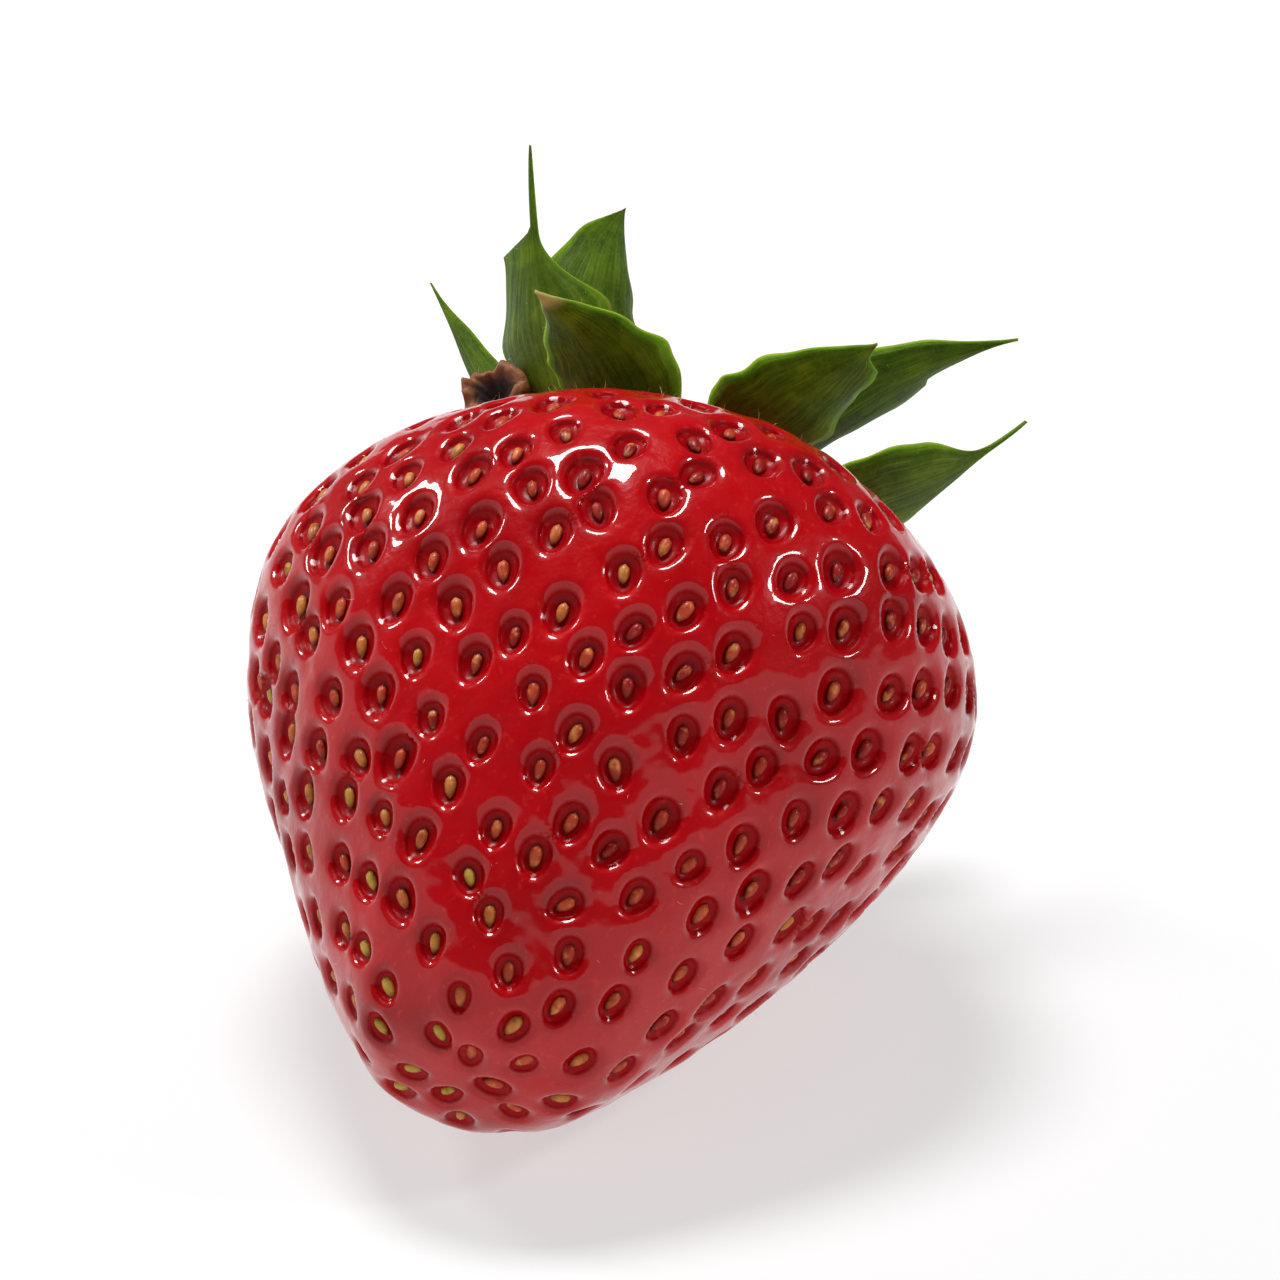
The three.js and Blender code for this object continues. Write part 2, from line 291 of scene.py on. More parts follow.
# %% Helpers for materials
def colour(red, green, blue):
    """A screen colour from 0 to 255 as the linear colour that a shader works in."""
    def linear(c):
        c = c / 255
        return c / 12.92 if c <= 0.04045 else ((c + 0.055) / 1.055) ** 2.4
    return (linear(red), linear(green), linear(blue), 1.0)


def as_colour(given):
    """Three numbers are a screen colour. Anything else is used as it is."""
    return colour(*given) if isinstance(given, tuple) and len(given) == 3 else given


class Shader(Nodes):
    """Shader nodes for a material, for the world or for a group."""

    def attribute(self, name):
        return self.node("ShaderNodeAttribute", attribute_name=name).outputs["Fac"]

    def place(self):
        return self.node("ShaderNodeTexCoord").outputs["Object"]

    def noise(self, scale, detail=4.0, rough=0.55, vector=None):
        """Cloud noise with its pattern in features per metre."""
        made = self.node("ShaderNodeTexNoise", {"Vector": vector or self.place(),
                                                "Scale": scale, "Detail": detail,
                                                "Roughness": rough})
        return made.outputs["Fac"]

    def span(self, value, low, high, to_low=0.0, to_high=1.0):
        made = self.node("ShaderNodeMapRange", {"Value": value, "From Min": low,
                                                "From Max": high, "To Min": to_low,
                                                "To Max": to_high},
                         interpolation_type="SMOOTHSTEP")
        return made.outputs["Result"]

    def mix(self, mask, a, b, share=None):
        """Colour b over colour a where the mask is 1, or by a share of the mask."""
        if share is not None:
            mask = self.math("MULTIPLY", mask, share)
        made = self.node("ShaderNodeMix", {"Factor": mask}, data_type="RGBA")
        for key, given in (("A", a), ("B", b)):
            socket = [s for s in made.inputs if s.name == key and s.type == "RGBA"][0]
            self.feed(as_colour(given), socket)
        return [s for s in made.outputs if s.type == "RGBA"][0]

    def bump(self, height, strength, distance, normal=None):
        inputs = {"Height": height, "Strength": strength, "Distance": distance}
        if normal is not None:
            inputs["Normal"] = normal
        return self.node("ShaderNodeBump", inputs).outputs["Normal"]


class Finish(Shader):
    """A material with one Principled shader. Plain numbers are set on the shader's own sockets."""

    def __init__(self, name, **sockets):
        self.material = bpy.data.materials.new(name)
        self.material.use_nodes = True
        super().__init__(self.material.node_tree)
        self.principled = self.tree.nodes["Principled BSDF"]
        for key, given in sockets.items():
            self.principled.inputs[key.replace("_", " ")].default_value = given

    def set(self, key, given):
        self.feed(given, self.principled.inputs[key])

    def set_roughness(self, scale, low, high, detail=4.0):
        """Roughness that wanders between two values, with a pattern of that scale."""
        self.set("Roughness", self.span(self.noise(scale, detail), 0.3, 0.7, low, high))


# %% Blotches: soft light and dark areas on top of a colour
blotches = bpy.data.node_groups.new("blotches", "ShaderNodeTree")
for label, kind in (("Colour", "Color"), ("Dark", "Color"), ("Light", "Color"),
                    ("Scale", "Float"), ("Amount", "Float")):
    blotches.interface.new_socket(label, in_out="INPUT", socket_type="NodeSocket" + kind)
blotches.interface.new_socket("Colour", in_out="OUTPUT", socket_type="NodeSocketColor")
draw = Shader(blotches)
entry, leave = draw.node("NodeGroupInput"), draw.node("NodeGroupOutput")
cloud = draw.noise(entry.outputs["Scale"], 5.0)
amount = entry.outputs["Amount"]
shaded = draw.mix(draw.span(cloud, 0.52, 0.30), entry.outputs["Colour"],
                  entry.outputs["Dark"], share=amount)
draw.feed(draw.mix(draw.span(cloud, 0.50, 0.74), shaded, entry.outputs["Light"], share=amount),
          leave.inputs["Colour"])


def blotch(shader, base, dark, light, scale, amount):
    used = shader.node("ShaderNodeGroup", node_tree=blotches)
    for key, given in (("Colour", base), ("Dark", dark), ("Light", light), ("Scale", scale),
                       ("Amount", amount)):
        shader.feed(as_colour(given), used.inputs[key])
    return used.outputs["Colour"]

# %% [markdown]
# ## Where the seeds sit
#
# The "seeds" of a strawberry are its real fruits, called achenes. They grow in a spiral: each
# new one turns by the golden angle from the last, which packs them evenly. The same rule places
# ours. Each takes an equal area of skin, a little less near the tip and near the calyx, where
# they stand closer. A small random nudge keeps the rows from looking machined.

# %% Points of the spiral
GOLDEN_ANGLE = math.pi * (3 - math.sqrt(5))
ACHENES = 530
random = np.random.default_rng(7)


def spiral_places():
    """t and angle of each achene, so that each has about the same area of skin."""
    t = np.linspace(0, 1, 2001)
    radius, height = outline_at(t)
    step = np.hypot(np.diff(radius), np.diff(height))
    ring = 2 * np.pi * (radius[1:] + radius[:-1]) / 2 * step
    middle_t = (t[1:] + t[:-1]) / 2
    crowding = 1 + 0.3 * bend_range(middle_t, 0.20, 0.02) + 1.4 * bend_range(middle_t, 0.66, 0.88)
    filled = np.concatenate([[0], np.cumsum(ring * crowding)])
    filled /= filled[-1]
    wanted = (np.arange(ACHENES) + 0.5) / ACHENES
    return np.interp(wanted, filled, t), np.arange(ACHENES) * GOLDEN_ANGLE


# Slow unevenness of the flesh: waves around, waves along, phases and height in millimetres.
LUMPS = [(4, 3, 0.3, 1.1, 0.22), (5, 5, 2.0, 0.4, 0.18), (7, 4, 4.1, 2.3, 0.15),
         (9, 7, 1.2, 0.9, 0.10), (6, 9, 5.0, 3.0, 0.10)]


def flesh_points(t, angle):
    """The berry's surface with its lumps, upright, in millimetres."""
    t, angle = np.broadcast_arrays(np.atleast_1d(t), angle)
    lump = sum(high * np.sin(around * angle + p) * np.sin(along * np.pi * t + q)
               for around, along, p, q, high in LUMPS) * np.sin(np.pi * t) ** 0.5
    point = berry_points(t, angle)
    centre = berry_points(t, 0.0) / 2 + berry_points(t, np.pi) / 2
    spread = (point - centre) * [1, 1, 0]
    reach = np.linalg.norm(spread, axis=-1, keepdims=True)
    return point + spread / np.maximum(reach, 1.0) * lump[:, None]


def surface_frame(t, angle):
    """Point, outward normal and direction towards the calyx at places on the berry, upright."""
    small = 1e-3
    point = flesh_points(t, angle)
    ahead = flesh_points(np.minimum(t + small, 1), angle)
    behind = flesh_points(np.maximum(t - small, 0), angle)
    beside = flesh_points(t, angle + small)
    along = ahead - behind
    normal = np.cross(beside - point, along)
    normal /= np.linalg.norm(normal, axis=1)[:, None] + 1e-12
    along /= np.linalg.norm(along, axis=1)[:, None] + 1e-12
    return point, normal, along


achene_t, achene_angle = spiral_places()
NUDGE = 0.34  # millimetres
OUTLINE_LENGTH = 75  # about how long the outline is, tip to calyx, in millimetres
CALYX_COVER = 8.2  # no achene grows nearer to the hub than this
nudge_radius = np.maximum(outline_at(achene_t)[0], 3.0)
achene_angle = achene_angle + random.normal(0, NUDGE, ACHENES) / nudge_radius
achene_t = np.clip(achene_t + random.normal(0, NUDGE, ACHENES) / OUTLINE_LENGTH,
                    0.004, 0.985)
achene_point, achene_normal, achene_along = surface_frame(achene_t, achene_angle)
hub_point = berry_points(1.0, 0.0)[0]
from_hub = np.hypot(achene_point[:, 0] - hub_point[0], achene_point[:, 1] - hub_point[1])
shown = (achene_t < 0.8) | (from_hub > CALYX_COVER)
achene_t, achene_angle = achene_t[shown], achene_angle[shown]
achene_point, achene_normal, achene_along = (
    achene_point[shown], achene_normal[shown], achene_along[shown])
print(len(achene_t), "achenes outside the calyx")

# %% How large each pit is
calyx_share = bend_range(achene_t, 0.64, 0.84)  # 1 near the calyx, where pits are small
tip_share = bend_range(achene_t, 0.42, 0.12)
pit_size = (1 - 0.42 * calyx_share - 0.20 * tip_share) * random.normal(1, 0.07, len(achene_t))
seed_size = (1 - 0.30 * calyx_share) * random.normal(1, 0.06, len(achene_t))
# 0 is dark red and 1 is olive yellow, which is commoner towards the tip and on one side.
left_share = bend_range(-np.cos(achene_angle), -0.4, 0.8)
seed_tint = np.clip(random.normal(0.12 + 0.40 * tip_share + 0.42 * left_share, 0.2), 0, 1)
sway = random.normal(0, 0.22, len(achene_t))
achene_across = np.cross(achene_normal, achene_along)
achene_long = (achene_along * np.cos(sway)[:, None] + achene_across * np.sin(sway)[:, None])
achene_cross = np.cross(achene_normal, achene_long)

achene_places = make_object("achene_places", to_world(achene_point), [])
for label, values in (("outward", turn_to_world(achene_normal)),
                      ("lengthwise", turn_to_world(achene_long)),
                      ("crosswise", turn_to_world(achene_cross)),
                      ("pit_size", pit_size), ("seed_size", seed_size),
                      ("seed_tint", seed_tint)):
    add_values(achene_places, label, values)
print("pits from", round(float(pit_size.min()), 2), "to", round(float(pit_size.max()), 2),
      "times the usual size")

# %% [markdown]
# ## The skin
#
# The skin needs an even mesh, because the pits are pressed into it. A sphere made of rings has
# crowded poles, so this one starts as a cube whose six faces are divided into squares and blown
# up. Each direction of that round cube is then carried to the berry's own outline, by the
# length of the outline rather than its height, so that the squares stay square.

# %% A round cube carried to the berry's outline
SKIN_STEPS = 128  # squares along an edge of the cube
SKIN_AREA = 6000  # about, in square millimetres


def round_cube(steps):
    """Directions and quads of a cube's surface, with its shared edges merged."""
    line = np.tan(np.linspace(-np.pi / 4, np.pi / 4, steps + 1))
    u, v = np.meshgrid(line, line, indexing="ij")
    one = np.ones_like(u)
    sides = [(u, v, one), (v, u, -one), (one, u, v), (-one, v, u), (v, one, u), (u, -one, v)]
    points = np.concatenate([np.stack(s, -1).reshape(-1, 3) for s in sides])
    points /= np.linalg.norm(points, axis=1)[:, None]
    grid = np.arange((steps + 1) ** 2).reshape(steps + 1, steps + 1)
    quad = np.stack([grid[:-1, :-1], grid[1:, :-1], grid[1:, 1:], grid[:-1, 1:]], -1)
    quads = np.concatenate([quad.reshape(-1, 4) + side * grid.size for side in range(6)])
    _, first, merged = np.unique((points * 1e6).round().astype(np.int64), axis=0,
                                 return_index=True, return_inverse=True)
    return points[first], merged.ravel()[quads]


def outline_by_length():
    """Finds t from a share of the way along the outline."""
    t = np.linspace(0, 1, 4001)
    radius, height = outline_at(t)
    length = np.concatenate([[0], np.cumsum(np.hypot(np.diff(radius), np.diff(height)))])
    return lambda share: np.interp(share, length / length[-1], t)


directions, skin_quads = round_cube(SKIN_STEPS)
skin_t = outline_by_length()(np.arccos(np.clip(-directions[:, 2], -1, 1)) / np.pi)
skin_angle = np.arctan2(directions[:, 1], directions[:, 0])
skin_points, skin_normals, _ = surface_frame(np.clip(skin_t, 1e-4, 1 - 1e-4), skin_angle)
skin_base = make_object("skin_base", to_world(skin_points), skin_quads)
add_values(skin_base, "outward", turn_to_world(skin_normals))
add_values(skin_base, "towards_calyx", skin_t)
print("the skin has", len(skin_quads), "squares of about",
      round(math.sqrt(SKIN_AREA / len(skin_quads)), 2), "mm")

# %% [markdown]
# ## The pits
#
# Around every achene the flesh swells, so the seed ends up in an oval pit with a soft, rounded
# lip. The tree below finds the nearest achene of each skin point, measures how far away it is in
# pit sizes, and moves the point in or out. It also stores where in its pit each point lies, and
# the skin's colour and shine follow from that.

# %% The tree that presses the pits
pits = Tree("press pits", Achenes="Object", Pit_length="Float", Pit_width="Float",
            Depth="Float", Dish="Float", Dish_depth="Float", Ripple="Float")
places = pits.shape_of("Achenes")
here = pits.node("GeometryNodeInputPosition").outputs[0]
nearest = pits.node("GeometryNodeSampleNearest", {"Geometry": places, "Sample Position": here},
                    domain="POINT").outputs["Index"]


def at_nearest(value, kind):
    made = pits.node("GeometryNodeSampleIndex", {"Geometry": places, "Index": nearest},
                     data_type=kind, domain="POINT")
    pits.feed(value, made.inputs["Value"])
    return made.outputs["Value"]


def away_along(direction):
    """How far a skin point lies from its achene along one of the achene's own directions."""
    return pits.vector_math("DOT_PRODUCT", away, at_nearest(
        pits.read(direction, "FLOAT_VECTOR"), "FLOAT_VECTOR"))


centre = at_nearest(pits.node("GeometryNodeInputPosition").outputs[0], "FLOAT_VECTOR")
away = pits.vector_math("SUBTRACT", here, centre)
size = at_nearest(pits.read("pit_size"), "FLOAT")
u = pits.math("DIVIDE", away_along("lengthwise"),
              pits.math("MULTIPLY", pits.value("Pit length"), size))
v = pits.math("DIVIDE", away_along("crosswise"),
              pits.math("MULTIPLY", pits.value("Pit width"), size))
# The pit is a little egg-shaped: wider towards the calyx.
EGG_SHAPE = 0.12
v = pits.math("MULTIPLY", v, pits.math("SUBTRACT", 1.0, pits.math("MULTIPLY", u, EGG_SHAPE)))
reach = pits.math("SQRT", pits.math("ADD", pits.math("MULTIPLY", u, u),
                                    pits.math("MULTIPLY", v, v)))


def bell(distance, steepness):
    """1 at the middle, 0 far out, with a wall at distance 1."""
    return pits.math("POWER", math.e, pits.math(
        "MULTIPLY", -1.0, pits.math("POWER", distance, steepness)))


# A steep pit for the seed lies in a wide shallow dish. Neighbouring dishes meet in low ridges.
HOLLOW_STEEPNESS, DISH_STEEPNESS = 5.5, 4.0
WOBBLES_PER_METRE = 480.0
hollow = bell(reach, HOLLOW_STEEPNESS)
dish = bell(pits.math("DIVIDE", reach, pits.value("Dish")), DISH_STEEPNESS)
wobble = pits.node("ShaderNodeTexNoise", {"Vector": here, "Scale": WOBBLES_PER_METRE,
                                          "Detail": 2.0})
ripple = pits.math("MULTIPLY", pits.math("SUBTRACT", wobble.outputs[0], 0.5),
                   pits.value("Ripple"))
inward = pits.math("MULTIPLY", size, pits.math(
    "ADD", pits.math("MULTIPLY", hollow, pits.value("Depth")),
    pits.math("MULTIPLY", dish, pits.value("Dish depth"))))
move = pits.scaled(pits.read("outward", "FLOAT_VECTOR"),
                   pits.math("SUBTRACT", ripple, inward))
pit_place = pits.node("ShaderNodeCombineXYZ", {0: u, 1: v, 2: size}).outputs[0]
stored = pits.value("Geometry")
for label, value, kind in (("pit_place", pit_place, "FLOAT_VECTOR"), ("reach", reach, "FLOAT")):
    keep = pits.node("GeometryNodeStoreNamedAttribute", {"Geometry": stored, "Name": label},
                     data_type=kind, domain="POINT")
    pits.feed(value, keep.inputs["Value"])
    stored = keep.outputs["Geometry"]
pits.close(pits.node("GeometryNodeSetPosition", {"Geometry": stored, "Offset": move}
                     ).outputs["Geometry"])

berry_skin = grow(skin_base, pits, "berry_skin", Achenes=achene_places, Pit_length=0.00134,
                  Pit_width=0.00104, Depth=0.00062, Dish=1.45, Dish_depth=0.00005,
                  Ripple=0.00022)
berry_skin.data.shade_smooth()

# %% The weight of the berry presses its underside flat
co = np.empty(len(berry_skin.data.vertices) * 3, np.float32)
berry_skin.data.vertices.foreach_get("co", co)
co = co.reshape(-1, 3)
print("skin points on the resting spot:", int((co[:, 2] <= 0).sum()))
co[:, 2] = np.maximum(co[:, 2], 0)
berry_skin.data.vertices.foreach_set("co", co.ravel())
berry_skin.data.update()

# %% [markdown]
# ### The skin's finish
#
# Ripe flesh is a little see-through, so light goes in and comes out redder: that is the
# subsurface part. On top lies a thin clear wax, which is the coat and gives the hard white
# highlights. The pits are painted darker as shade, with a painted shadow ring around each
# seed, the ridges are painted paler as a sheen, and near the calyx the red thins to pink.

# %% Berry skin material
draw = Finish(
    "berry_skin_red", Subsurface_Weight=0.10, Subsurface_Radius=(1.0, 0.18, 0.10),
    Subsurface_Scale=0.0012, Coat_Roughness=0.045, Coat_IOR=1.42, IOR=1.45,
    Specular_IOR_Level=0.1)
pit_place = draw.node("ShaderNodeAttribute", attribute_name="pit_place").outputs["Vector"]
# The plain reach takes over where two pits meet, because pit_place jumps there.
GUARD_MARGIN = 0.12
guard = draw.math("SUBTRACT", draw.attribute("reach"), GUARD_MARGIN)


def distance_in_pit(stretch_u, stretch_v):
    """Distance from the pit's middle along its own axes, stretched by a factor on each."""
    stretched = draw.vector_math("MULTIPLY", pit_place, (stretch_u, stretch_v, 0))
    return draw.math("MAXIMUM", draw.vector_math("LENGTH", stretched),
                     draw.math("MULTIPLY", guard, stretch_u))


reach = distance_in_pit(1.0, 1.0)
to_seed = distance_in_pit(1.8, 2.75)
pit_shade_mask = draw.span(reach, 1.08, 0.80)
ridge_sheen_mask = draw.span(reach, 1.0, 1.9)
red = blotch(draw, (166, 0, 8), (132, 0, 5), (190, 4, 14), 130.0, 0.7)
# Painted sheen: the ridges between the pits are paler red.
red = draw.mix(ridge_sheen_mask, red, (186, 8, 14), share=0.35)
# Painted shade: the inside of each pit is a darker red.
red = draw.mix(pit_shade_mask, red, (150, 0, 8))
# Painted shadow: a dark ring in the flesh around each seed.
red = draw.mix(draw.span(to_seed, 1.35, 1.0), red, (84, 0, 6), share=0.55)
freckle = draw.span(draw.noise(1900.0, 2.0), 0.60, 0.75)
red = draw.mix(freckle, red, (208, 52, 44), share=0.30)
shoulder = draw.span(draw.attribute("towards_calyx"), 0.88, 0.975)
draw.set("Base Color", draw.mix(shoulder, red, (206, 92, 62), share=0.75))
# The wax lies on the open skin and hardly reaches the bottom of the pits.
draw.set("Coat Weight", draw.span(reach, 0.90, 1.12, 0.08, 0.90))
draw.set_roughness(700.0, 0.30, 0.44, detail=3.0)
grain = draw.bump(draw.noise(2600.0, 3.0), 0.12, 0.00012)
rim = draw.bump(draw.span(reach, 0.82, 1.06), 0.55, 0.0003, grain)
draw.set("Normal", draw.bump(draw.noise(800.0, 3.0), 0.32, 0.0003, rim))
berry_skin.data.materials.append(draw.material)

# %% [markdown]
# ## The achenes
#
# One seed is modelled once: a small teardrop with its sharp end towards the tip of the berry and
# a low keel along its back. The tree sets a copy in each pit, turned to lie along it.

# %% One teardrop
SEED_LENGTH, SEED_WIDTH, SEED_DEPTH = 1.42, 0.72, 0.50


def teardrop():
    """A body widest near its blunt end, with rings of points between its two ends."""
    rings, around, widest = 6, 8, 2.36  # widest brings the fullest ring to about full width
    points = [(0, -SEED_LENGTH / 2, 0)]
    for ring in range(1, rings):
        s = ring / rings
        half = widest * (s ** 0.75) * ((1 - s) ** 0.52)
        for step in range(around):
            angle = 2 * math.pi * step / around
            keel = 1.12 if step == 2 else 1.0
            points.append((SEED_WIDTH / 2 * half * math.cos(angle),
                           SEED_LENGTH * (s - 0.5),
                           SEED_DEPTH / 2 * half * math.sin(angle) * keel))
    points.append((0, SEED_LENGTH / 2, 0))
    last = len(points) - 1
    return np.array(points) * MM, closed_tube_faces(rings - 1, around, 0, last, start=1)


seed_points, seed_faces = teardrop()
one_seed = make_object("one_seed", seed_points, [f[::-1] for f in seed_faces])
add_values(one_seed, "seed_along", (seed_points[:, 1] / MM) / SEED_LENGTH + 0.5)
print("one seed has", len(seed_faces), "faces")

# %% The tree that sets a seed in each pit
seeds = Tree("set seeds", Seed="Object", Sunk="Float", Material="Material")
outward = seeds.read("outward", "FLOAT_VECTOR")
sunk = seeds.scaled(outward, seeds.math("MULTIPLY", seeds.value("Sunk"), -1.0))
lowered = seeds.node("GeometryNodeSetPosition",
                     {"Geometry": seeds.value("Geometry"), "Offset": sunk}).outputs["Geometry"]
along_z = seeds.node("FunctionNodeAlignRotationToVector", {"Vector": outward}, axis="Z")
turned = seeds.node("FunctionNodeAlignRotationToVector",
                    {"Rotation": along_z.outputs[0],
                     "Vector": seeds.read("lengthwise", "FLOAT_VECTOR")},
                    axis="Y", pivot_axis="Z")
copies = seeds.node("GeometryNodeInstanceOnPoints",
                    {"Points": lowered, "Instance": seeds.shape_of("Seed"),
                     "Rotation": turned.outputs[0], "Scale": seeds.read("seed_size")})
seeds.close_copies(copies.outputs["Instances"])

# %% [markdown]
# ### The achenes' finish
#
# Ripe achenes run from yellow-green through tan to rusty red, and are dull next to the skin. The
# number stored for each seed picks its colour, and its sharp end is darker.

# %% Achene material
draw = Finish("achene_tan", Coat_Weight=0.15, Coat_Roughness=0.2, Specular_IOR_Level=0.2)
tint = draw.attribute("seed_tint")
tan = draw.mix(draw.span(tint, 0.05, 0.35), (146, 14, 16), (182, 66, 36))
tan = draw.mix(draw.span(tint, 0.35, 0.62), tan, (184, 110, 44))
tan = draw.mix(draw.span(tint, 0.62, 0.90), tan, (172, 140, 44))
tan = draw.mix(draw.span(draw.attribute("seed_along"), 0.35, 0.02), tan, (112, 34, 16))
draw.set("Base Color", blotch(draw, tan, (96, 32, 14), (216, 160, 84), 1500.0, 0.6))
draw.set_roughness(2500.0, 0.34, 0.55)
draw.set("Normal", draw.bump(draw.noise(5000.0, 2.0), 0.3, 0.00008))

achenes = grow(achene_places, seeds, "achenes", Seed=one_seed, Sunk=0.00054,
               Material=draw.material)
achenes.data.shade_smooth()

# %% [markdown]
# ## The leaves of the calyx
#
# The calyx has two rings of leaves: broad sepals, and narrow bracts outside them. Each leaf is a
# thin closed shell around a midrib that walks outward from the collar and bends as it goes. The
# engineering model uses the same walk, so the leaves land where it has them. Here they also get
# a drawn-out tip, raised veins, a rolled edge and, on some, side teeth.

# %% How the leaves sit on the shoulder
GAP = 0.35
COLLAR_RADIUS, COLLAR_THICKNESS, FUNNEL_DEPTH = 6.6, 1.4, 0.7
BLADE_THICKNESS, BLADE_ROOT_WIDTH = 0.55, 3.0


def shoulder_at(radius):
    """Where the outline comes back to a given radius on its way to the calyx."""
    radius = np.atleast_1d(np.asarray(radius, float))
    outer, inner = np.full_like(radius, 0.7), np.ones_like(radius)
    for _ in range(40):
        middle = (outer + inner) / 2
        wide = outline_at(middle)[0] > radius
        outer, inner = np.where(wide, middle, outer), np.where(wide, inner, middle)
    return inner


crest_t = np.arange(0.7, 1, 0.005)
crest_radius, crest_height = (a[np.argmax(outline_at(crest_t)[1])] for a in outline_at(crest_t))
rim_radius, rim_height = (a[0] for a in outline_at(shoulder_at(COLLAR_RADIUS)))
SHOULDER_SLOPE = math.atan2(crest_height - rim_height, crest_radius - rim_radius)
print("the shoulder around the collar slopes", round(math.degrees(SHOULDER_SLOPE), 1), "degrees")


def collar_reach_at(angle):
    """How far the collar's rim is from the hub, at an angle around it."""
    rim_point = berry_points(shoulder_at(COLLAR_RADIUS), angle)[0]
    return math.hypot(rim_point[0] - hub_point[0], rim_point[1] - hub_point[1])


def leaf_seat(leaf, radial):
    collar_reach = collar_reach_at(math.atan2(radial[1], radial[0]))
    spacing = BLADE_THICKNESS + GAP
    if leaf.get("on_top"):
        reach = collar_reach - spacing
        height = outline_at(shoulder_at(reach))[1][0] + GAP + COLLAR_THICKNESS + GAP
    else:
        reach = collar_reach + GAP
        tier = 1 if leaf["name"].startswith("bract") else 0
        height = rim_height + GAP + BLADE_THICKNESS / 2 + tier * spacing
    return np.array([hub_point[0], hub_point[1], height]) + radial * reach


def midrib(leaf, steps):
    """Points and directions along a leaf's midrib, found by walking along it."""
    around = -math.radians(leaf["around"])
    radial = np.array([math.cos(around), math.sin(around), 0.0])
    tangential = np.array([-math.sin(around), math.cos(around), 0.0])
    point = leaf_seat(leaf, radial)
    walk = []
    for step in range(steps + 1):
        s = step / steps
        low, high = leaf["rise"]
        rise = SHOULDER_SLOPE + math.radians(low + (high - low) * s)
        sideways = math.radians(leaf["sway"] * s)
        twist = math.radians(leaf["twist"] * min(1, 2 * s))
        forward = radial * math.cos(sideways) + tangential * math.sin(sideways)
        across = tangential * math.cos(sideways) - radial * math.sin(sideways)
        along = forward * math.cos(rise) + np.array([0, 0, math.sin(rise)])
        face = np.cross(along, across)
        turned = across * math.cos(twist) + face * math.sin(twist)
        walk.append((point.copy(), turned, np.cross(along, turned), along))
        point = point + along * leaf["length"] / steps
    return walk


# %% The table of leaves
def leaf_row(name, around, length, width, belly, rise, sway, twist, cup, **extra):
    """Angles in degrees and sizes in millimetres, as in the engineering model."""
    return {"name": name, "around": around, "length": length, "width": width, "belly": belly,
            "rise": rise, "sway": sway, "twist": twist, "cup": cup, **extra}


# fine: how much of the leaf's end is drawn out into a thin tip. teeth: side, start, end and size.
LEAVES = [
    leaf_row("sepal_1", 2.5, 17.3, 6.9, 0.42, (5, 55), 9, 1, 0.15, fine=0.47, blade_end=0.92),
    leaf_row("bract_1", 19, 18, 5.6, 0.43, (53, 4), 6, 4, 0.3, fine=0.37,
             teeth=[(1, 0.40, 0.66, 0.9)]),
    leaf_row("sepal_2", 49, 13.7, 7.8, 0.42, (4, 11), 12, 5, 0.2, fine=0.02, rusty_root=0.85,
             teeth=[(1, 0.60, 0.90, 1.0)]),
    leaf_row("sepal_3", 98, 13.2, 8, 0.33, (10, -11), -28, -2, 0.25, fine=0.0, dry_tip=1),
    leaf_row("bract_2", 123, 16.7, 6.5, 0.47, (46, 107), 12, 61, 0.25, on_top=True, fine=0.0),
    leaf_row("sepal_4", 129.5, 18.7, 7.6, 0.41, (46, 64), 15, -1, 0.35, fine=0.55, blade_end=0.74,
             teeth=[(-1, 0.16, 0.72, 3.2)]),
    leaf_row("bract_3", 201, 22.1, 3.1, 0.4, (54, 53), 15, 47, 0.35, fine=0.25),
    leaf_row("sepal_5", 210, 15.5, 7.8, 0.33, (18, 36), 6, -8, 0.3, fine=0.2),
    leaf_row("bract_4", 240, 14.5, 4.8, 0.42, (34, 16), -10, 12, 0.3, fine=0.25),
    leaf_row("sepal_6", 268, 15, 8.2, 0.33, (10, 34), 8, 6, 0.3, fine=0.2,
             teeth=[(-1, 0.5, 0.8, 0.8)]),
    leaf_row("bract_5", 296, 15.5, 4.8, 0.42, (34, 26), 6, -14, 0.3, fine=0.3),
    leaf_row("sepal_7", 322, 14, 7.4, 0.33, (8, 26), -8, 8, 0.3, fine=0.15),
]


# %% Shape of one leaf
def tooth_width(s, start, end, size):
    """A side tooth that widens slowly from its start and ends steeply."""
    if s < start or s > end:
        return 0.0
    share = (s - start) / (end - start)
    return size * share ** 1.3 * min(1, (1 - share) / 0.07)


def half_width(leaf, s, side):
    """Half the width at s along the leaf: narrow at the root, full at the belly, a thin tip."""
    tip_power = 1.2 + 1.6 * leaf["fine"]
    root_power = tip_power * leaf["belly"] / (1 - leaf["belly"])
    body = (s / leaf["belly"]) ** root_power * ((1 - s) / (1 - leaf["belly"])) ** tip_power
    # Past the blade's own end, only the midrib runs on as a thin tip.
    end = leaf.get("blade_end", 1.0)
    body *= float(bend_range(s, end, end - 0.35)) if end < 1 else 1.0
    root = BLADE_ROOT_WIDTH / leaf["width"] * (1 - s) ** 3
    tip = (0.05 + 0.14 * leaf["fine"]) * bend_range(s, 0.3, 0.6) * math.sqrt(max(0, 1 - s))
    edge = 1 + 0.035 * math.sin(31 * s + 2.5 * side + leaf["around"]) * bend_range(s, 0.2, 0.4)
    half = leaf["width"] / 2 * math.hypot(body * float(edge), root, float(tip))
    for tooth_side, start, end, size in leaf.get("teeth", []):
        if side * tooth_side > 0:
            half += tooth_width(s, start, end, size) * abs(side) ** 1.5
    return half


LEAF_STEPS, LEAF_COLUMNS = 56, 13
VEINS = (0.0, 0.36, -0.36, 0.70, -0.70)


